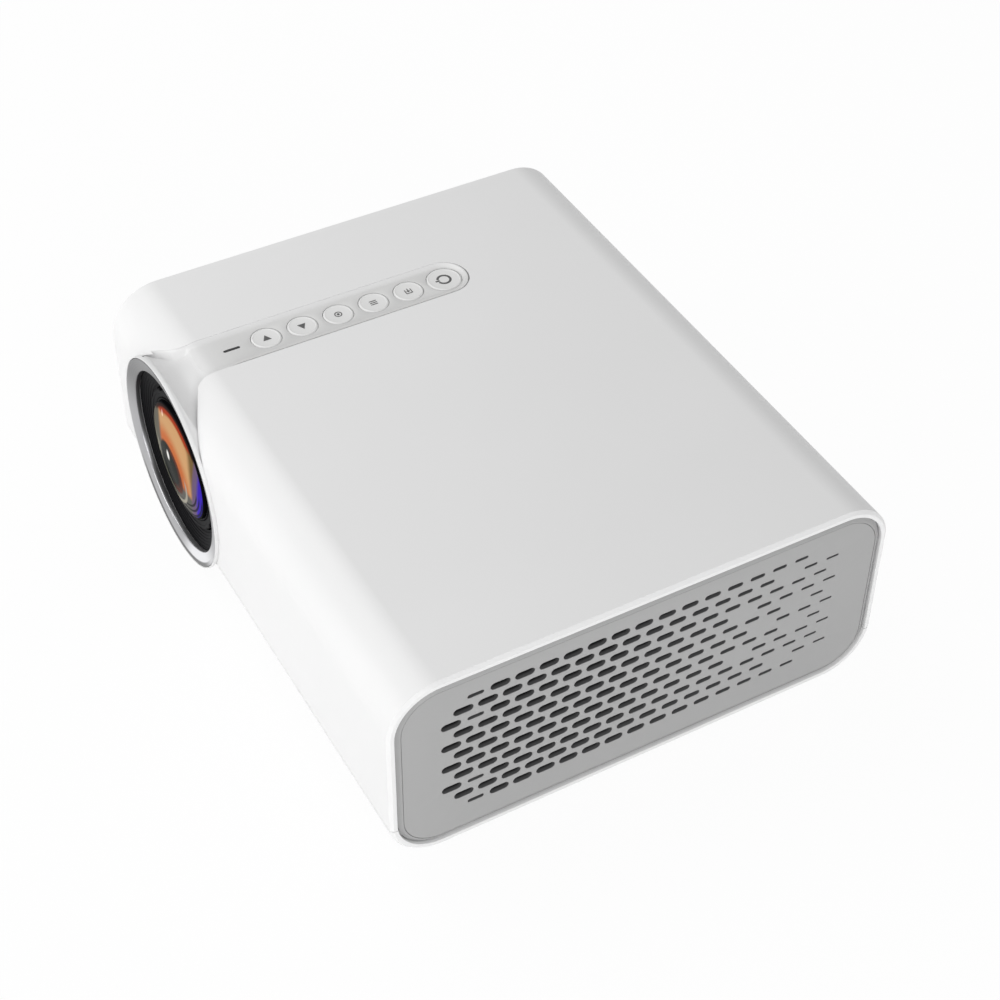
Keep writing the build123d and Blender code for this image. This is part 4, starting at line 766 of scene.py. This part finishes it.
# ------------------------------------------------------------ vents
def end_plate(name, node, side, slots):
    """Vented end plate: a flat plate with rounded slots, inside a border that falls away to the casing's rim.

    The plate is a stack of outlines along a profile of (set back from the edge, depth) points. Its flat faces
    are triangles between the outer outline and the slots, and a triangle with all its corners on one slot is
    left open. The border is a rounded rectangle carried inwards along a profile of (inset, height) points.
    """
    low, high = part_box(node)
    half_y, half_z = (high.y - low.y) / 2 / MM, (high.z - low.z) / 2 / MM
    middle_y, middle_z = (high.y + low.y) / 2 / MM, (high.z + low.z) / 2 / MM
    thickness = (high.x - low.x) / MM
    outer_x = (high.x if side > 0 else low.x) / MM
    corner, border, soft = 17.0, 2.2, 0.25
    turn = np.linspace(0, math.pi / 2, 4)
    profile = [(soft * (1 - math.sin(a)), -soft * (1 - math.cos(a))) for a in turn] + [(0.0, -thickness)]
    rings, owner = [], []
    for back, depth in profile:
        loops = [rounded_loop(half_y - border - back, half_z - border - back, corner - border - back)]
        loops += [
            stadium(length + 2 * back, height + 2 * back) + [y - middle_y, z - middle_z]
            for y, z, length, height in slots
        ]
        flat = np.concatenate(loops)
        rings.append(np.concatenate([np.full((len(flat), 1), depth), flat], 1))
        owner = np.repeat(np.arange(len(loops)), [len(loop) for loop in loops])
    count = len(owner)
    starts = np.searchsorted(owner, np.arange(owner[-1] + 1))
    following = np.arange(count) + 1
    ends = np.append(starts[1:], count) - 1
    following[ends] = starts
    flat = [Vector(p) for p in rings[0][:, 1:].tolist()]
    edges = np.stack([np.arange(count), following], 1).tolist()
    _, _, triangles, source, _, _ = delaunay_2d_cdt(flat, edges, [], 1, 1e-6)
    first = np.array([ids[0] for ids in source])
    triangles = first[np.array(triangles)]
    of = owner[triangles]
    in_slot = (of[:, 0] == of[:, 1]) & (of[:, 1] == of[:, 2]) & (of[:, 0] > 0)
    triangles = triangles[~in_slot]
    layers = len(profile)
    faces = triangles.tolist() + (triangles[:, ::-1] + (layers - 1) * count).tolist()
    for layer in range(layers - 1):
        a, b = np.arange(count) + layer * count, following + layer * count
        faces += np.stack([a, a + count, b + count, b], 1).tolist()
    points = np.concatenate(rings)
    points = points * [side, 1, 1] + [outer_x, middle_y, middle_z]
    mesh = bpy.data.meshes.new(name)
    mesh.from_pydata((points * MM).tolist(), [], faces)
    keep(name, clean(mesh), vent_grey, ROOT, (node,), 25)
    profile = np.array(
        [
            [0.15, -thickness], [0.15, -1.1], [0.3, -0.98], [0.6, -0.8], [1.0, -0.5], [1.4, -0.2],
            [1.65, -0.06], [1.85, 0.0],
            [border - 0.22, 0.0], [border - 0.12, -0.06], [border - 0.12, -thickness],
        ]
    )
    y_z = np.stack([rounded_loop(half_y - d, half_z - d, corner - d) for d in profile[:, 0]])
    x = np.broadcast_to(outer_x + side * profile[:, 1:2], y_z.shape[:2])
    points = np.stack([x, y_z[..., 0] + middle_y, y_z[..., 1] + middle_z], -1) * MM
    mesh = clean(grid_mesh(name + "_border", points, True, True))
    keep(name + "_border", mesh, border_grey, ROOT, (), 30)


def right_slots():
    """Staggered rows of slots that keep one size near the lens and shrink steadily towards the rear.

    A few places are left blank, and a few slots are thinner than the rest.
    """
    columns, whole_columns, pitch, first_column = 34, 14, 4.625, -76.4
    slot_length, length_lost, height_lost = 7.5, 2.3, 2.2
    thin_length, thin_height = 6.2, 1.6
    low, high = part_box("upper_shell")
    middle = (low.y + high.y) / 2 / MM
    top = high.z / MM
    blank = {
        (0, 0), (0, 10), (32, 0), (32, 10), (29, 1), (25, 3), (30, 4), (27, 5), (30, 6), (25, 7), (29, 9),
    }
    thin = {(2, 0), (2, 2), (2, 8), (2, 10)}
    loops = []
    for column in range(columns):
        share = max(0, column + 1 - whole_columns) / (columns - whole_columns)
        for row in range(column % 2, SLOT_ROWS, 2):
            if (column, row) in blank:
                continue
            length, height = slot_length - length_lost * share, SLOT_HEIGHT - height_lost * share
            if (column, row) in thin:
                length, height = thin_length, thin_height
            across = middle + first_column + pitch * column
            loops.append((across, top - FIRST_ROW - ROW_STEP * row, length, height))
    return loops


def left_slots():
    """Coarser staggered slots of one size."""
    columns, pitch, slot_length = 12, 12.0, 9.5
    low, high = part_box("upper_shell")
    middle = (low.y + high.y) / 2 / MM
    top = high.z / MM
    first_column = -pitch * (columns - 1) / 2
    return [
        (middle + first_column + pitch * column, top - FIRST_ROW - ROW_STEP * row, slot_length, SLOT_HEIGHT)
        for column in range(columns)
        for row in range(column % 2, SLOT_ROWS, 2)
    ]


# ------------------------------------------------------------ keys
def key_caps():
    """Round keys: a shallow dish with a rounded edge, down to the flange under the roof.

    The dish's height rises from its middle as the square of the radius.
    """
    flange_width, cap_height, flange_height = 0.88, 2.9, 1.3
    soft, flat_rim, dish_depth, dish_rise, segments = 0.8, 0.15, 0.28, 0.25, 96
    for node in KEYS:
        low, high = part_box(node)
        middle = (low + high) / 2
        flange = (high.x - low.x) / 2 / MM
        radius = flange - flange_width
        top = high.z / MM
        r = np.linspace(0, radius - soft - flat_rim, 14)
        dish = np.stack([r, top - dish_depth + dish_rise * (r / radius) ** 2], -1)
        turn = np.linspace(0, math.pi / 2, 6)
        edge = np.stack([radius - soft + soft * np.sin(turn), top - soft + soft * np.cos(turn)], -1)
        skirt = top - cap_height
        under = skirt - flange_height
        rest = np.array([[radius, skirt], [flange, skirt], [flange, under], [0, under]])
        profile = np.concatenate([dish, edge, rest])
        angle = np.linspace(0, 2 * math.pi, segments, endpoint=False)
        points = np.stack(
            [
                middle.x + profile[:, 0:1] * np.cos(angle) * MM,
                middle.y + profile[:, 0:1] * np.sin(angle) * MM,
                np.broadcast_to(profile[:, 1:2] * MM, (len(profile), segments)),
            ],
            -1,
        )
        mesh = clean(grid_mesh(node + "_cap", points, True, True))
        keep(node + "_cap", mesh, key_white, node, (node,), 40)


def mark(name, key, outline, turn=0.0):
    """Thin printed sign on a key: an outline in millimetres about its middle, +y pointing along the strip."""
    low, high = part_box(key)
    middle = (low + high) / 2
    below_rim, thickness, edge = 0.215, 0.06, 0.01
    stand = Matrix.Translation((middle.x, middle.y, high.z - below_rim * MM))
    place = stand @ Matrix.Rotation(turn, 4, "Z") @ Matrix.Scale(MM, 4)
    mesh = printed_plate(name, np.asarray(outline, float), thickness, edge, place)
    keep(name, mesh, print_grey, key, (), 40)


def arc_band(radius, width, start, end, steps=40):
    """Part of a flat ring between two angles, as one closed outline."""
    turn = np.radians(np.linspace(start, end, steps))
    outer = np.stack([(radius + width / 2) * np.cos(turn), (radius + width / 2) * np.sin(turn)], -1)
    inner = np.stack([(radius - width / 2) * np.cos(turn), (radius - width / 2) * np.sin(turn)], -1)
    return np.concatenate([outer, inner[::-1]])


def key_marks():
    """Arrow heads, a ring with its bar for power, and three plain signs.

    The plain signs are a dot in a ring, three lines, and a box with an arrow. All but the power sign are read
    from the vented end, so they stand a quarter turn round.
    """
    quarter = math.pi / 2
    head = np.array([[0, 1.8], [-1.7, -1.3], [1.7, -1.3]])
    mark("sign_up", "key_up", head, turn=quarter)
    mark("sign_down", "key_down", -head, turn=quarter)
    mark("sign_power_ring", "key_power", arc_band(2.55, 0.92, -72, 252))
    mark("sign_power_bar", "key_power", [[-0.38, -3.7], [0.38, -3.7], [0.38, -1.9], [-0.38, -1.9]])
    mark("sign_select_ring", "key_select", arc_band(1.35, 0.4, 0, 359, 36))
    mark("sign_select_dot", "key_select", arc_band(0.3, 0.55, 0, 359, 16))
    half_long, half_thick, line_step = 1.5, 0.2, 1.05
    for index, y in enumerate((-line_step, 0.0, line_step)):
        bottom, top = y - half_thick, y + half_thick
        line = [[-half_long, bottom], [half_long, bottom], [half_long, top], [-half_long, top]]
        mark(f"sign_menu_line_{index}", "key_menu", line, turn=quarter)
    box = [
        [-1.4, 1.2], [-1.4, -1.5], [1.4, -1.5], [1.4, 1.2],
        [1.04, 1.2], [1.04, -1.14], [-1.04, -1.14], [-1.04, 1.2],
    ]
    mark("sign_source_box", "key_source", box, turn=quarter)
    arrow = [[0, -0.75], [0.72, 0.25], [0.2, 0.25], [0.2, 1.6], [-0.2, 1.6], [-0.2, 0.25], [-0.72, 0.25]]
    mark("sign_source_arrow", "key_source", arrow, turn=quarter)


# ------------------------------------------------------------ casing and key strip
def casing():
    """Casing shells with soft outer edges at both ends."""
    low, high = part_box("upper_shell")
    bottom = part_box("bottom_cover")[0]
    end = high.x / MM
    half_y, half_z = (high.y - low.y) / 2 / MM, (high.z - bottom.z) / 2 / MM
    middle_y, middle_z = (high.y + low.y) / 2 / MM, (high.z + bottom.z) / 2 / MM

    def inset(point):
        across = abs(point.y - middle_y) - (half_y - CASING_CORNER)
        up = abs(point.z - middle_z) - (half_z - CASING_CORNER)
        if across > 0 and up > 0:
            return CASING_CORNER - math.hypot(across, up)
        return CASING_CORNER - max(across, up)

    def end_edge(point):
        return abs(abs(point.x) - end) < 0.01 and inset(point) < 0.3

    def inner_end_edge(point):
        return abs(abs(point.x) - end) < 0.01 and inset(point) > 2.0

    for shell in ("upper_shell", "bottom_cover"):
        polished(shell, white, ROOT, ((end_edge, 1.15, 1), (inner_end_edge, 0.25, 2)))


def hood():
    """Lens hood and key strip with soft key holes and a soft lip."""
    strip_x, _, surface = strip_place()
    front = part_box("lens_hood")[0].y / MM
    keys = [sum(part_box(n), Vector()) / 2 / MM for n in KEYS]
    row_half, hole_reach = 7.6, 7.4

    def hole_edge(point):
        if abs(point.z - surface) > 0.02 or abs(point.x - strip_x) > row_half:
            return False
        return any(math.hypot(point.x - key.x, point.y - key.y) < hole_reach for key in keys)

    def lip_edge(point):
        return abs(point.y - front) < 0.02

    polished("lens_hood", strip_white, ROOT, ((hole_edge, 0.3, 2), (lip_edge, 0.2, 2)), 36)


def strip_edge():
    """Raised edge of the key strip: a slope carried along its outline, from the casing down to the strip.

    The outline runs up the near side, half round the power key, down the far side and out along the flare.
    Height falls from the casing to the hood's own surface as a smooth step of the distance inwards, and the
    slope gets wider along the flare. The gap to the casing is open on the near side and closes round the end.
    Across, the surface rises from a hidden skirt over a small shoulder, falls, and ends in a second skirt.
    """
    strip_x, power_y, surface = strip_place()
    casing_top, corner_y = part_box("upper_shell")[1].z / MM, -79.25
    lens_x, lens_z = lens_centre[0] / MM, lens_centre[2] / MM
    barrel_radius, valley_y, valley_round, valley_ring, valley_drop = 42.1, -91.59, 9.2, 58.3, 10
    slot_half, width, start, bend = 10.1, 2.4, -80.0, 8.0
    near_gap, far_gap, flare_turn, flare_widening = 0.5, 0.02, math.radians(25), 3.2
    neck, mouth_out, mouth_down = corner_y - 8.6, 10.9, 6.76
    turn_total = math.atan2(mouth_out, mouth_down)
    reach = bend * math.tan(turn_total / 2)
    near_steps, far_steps = 40, 44
    up = np.linspace(start, power_y, near_steps)
    half_turn = np.linspace(0, math.pi, 49)[1:-1]
    down = np.linspace(power_y, neck + reach, far_steps)
    bow = np.linspace(0, turn_total, 14)[1:]
    out = np.linspace(reach / math.hypot(mouth_out, mouth_down), 1.4, 18)[1:]
    x = np.concatenate([
        np.full(near_steps, slot_half), slot_half * np.cos(half_turn), np.full(far_steps, -slot_half),
        -slot_half - bend * (1 - np.cos(bow)), -slot_half - mouth_out * out,
    ])
    y = np.concatenate([
        up, power_y + slot_half * np.sin(half_turn), down,
        neck + reach - bend * np.sin(bow), neck - mouth_down * out,
    ])
    rest = len(x) - near_steps - len(half_turn)
    side = np.concatenate([np.zeros(near_steps), half_turn, np.full(rest, math.pi)])
    flared = np.clip((-x - slot_half) / mouth_out, 0, 1)
    heading = side + flare_turn * flared
    gap = near_gap - (near_gap - far_gap) * smooth_share((side / math.pi - 0.55) / 0.4)
    wide = width + flare_widening * smooth_share(flared * 1.4)

    def casing_height(y, recess):
        across = np.clip(corner_y - y, 0, CASING_CORNER - 1)
        return casing_top - CASING_CORNER + np.sqrt((CASING_CORNER - recess) ** 2 - across**2)

    def hood_height(x, y):
        aside = x + strip_x - lens_x
        barrel = lens_z + np.sqrt(np.clip(barrel_radius**2 - aside**2, 0, None))
        sunk = valley_ring - np.sqrt(np.clip(valley_round**2 - (y - valley_y) ** 2, 0, None))
        valley = lens_z - valley_drop + np.sqrt(sunk**2 - aside**2)
        body = np.where(y < corner_y, np.maximum(casing_height(y, casing_top - surface), barrel), surface)
        return np.where(np.abs(y - valley_y) < valley_round, np.minimum(body, valley), body)

    t = np.linspace(0, 1, 12)
    shoulder_in, shoulder_up, crest = [0.0, 0.02], [0.82, 0.95], 0.07
    inward = np.concatenate([[0.0], shoulder_in, crest + (1 - crest) * t, [1.0]])
    inward = inward[None, :] * wide[:, None] + gap[:, None]
    px = x[:, None] - inward * np.cos(heading)[:, None]
    py = y[:, None] - inward * np.sin(heading)[:, None]
    share = np.concatenate([[1.0], shoulder_up, 1 - smooth_share(t), [0.0]])[None, :]
    clear, lowered, outer_skirt, inner_skirt, rise_length, fade_share = 0.012, 0.05, 0.42, 0.4, 11.0, 0.4
    base = hood_height(px, py) + clear
    past = (-x - slot_half) / mouth_out - 1.0
    rise = smooth_share((y - start) / rise_length)
    fade = np.where(side > 0, 1.0 - smooth_share(past / fade_share), rise)[:, None]
    pz = base + (casing_height(y, 0.0)[:, None] - lowered - base) * share * fade
    pz[:, 0] = base[:, 0] - outer_skirt
    pz[:, -1] = base[:, -1] - inner_skirt
    points = np.stack([px + strip_x, py, pz], -1) * MM
    ends = [np.broadcast_to(points[i].mean(0), (1, *points.shape[1:])) for i in (0, -1)]
    points = np.concatenate([ends[0], points, ends[1]])
    mesh = clean(grid_mesh("strip_edge", points, False, True))
    keep("strip_edge", mesh, strip_white, ROOT, (), 50)


casing()
hood()
strip_edge()
front_ring()
stepped_baffle()
focus_grip()
barrel_and_glass()
end_plate("right_vent", "right_grille", 1, right_slots())
end_plate("left_vent", "left_grille", -1, left_slots())
key_caps()
key_marks()
camera()
surroundings()
floor()
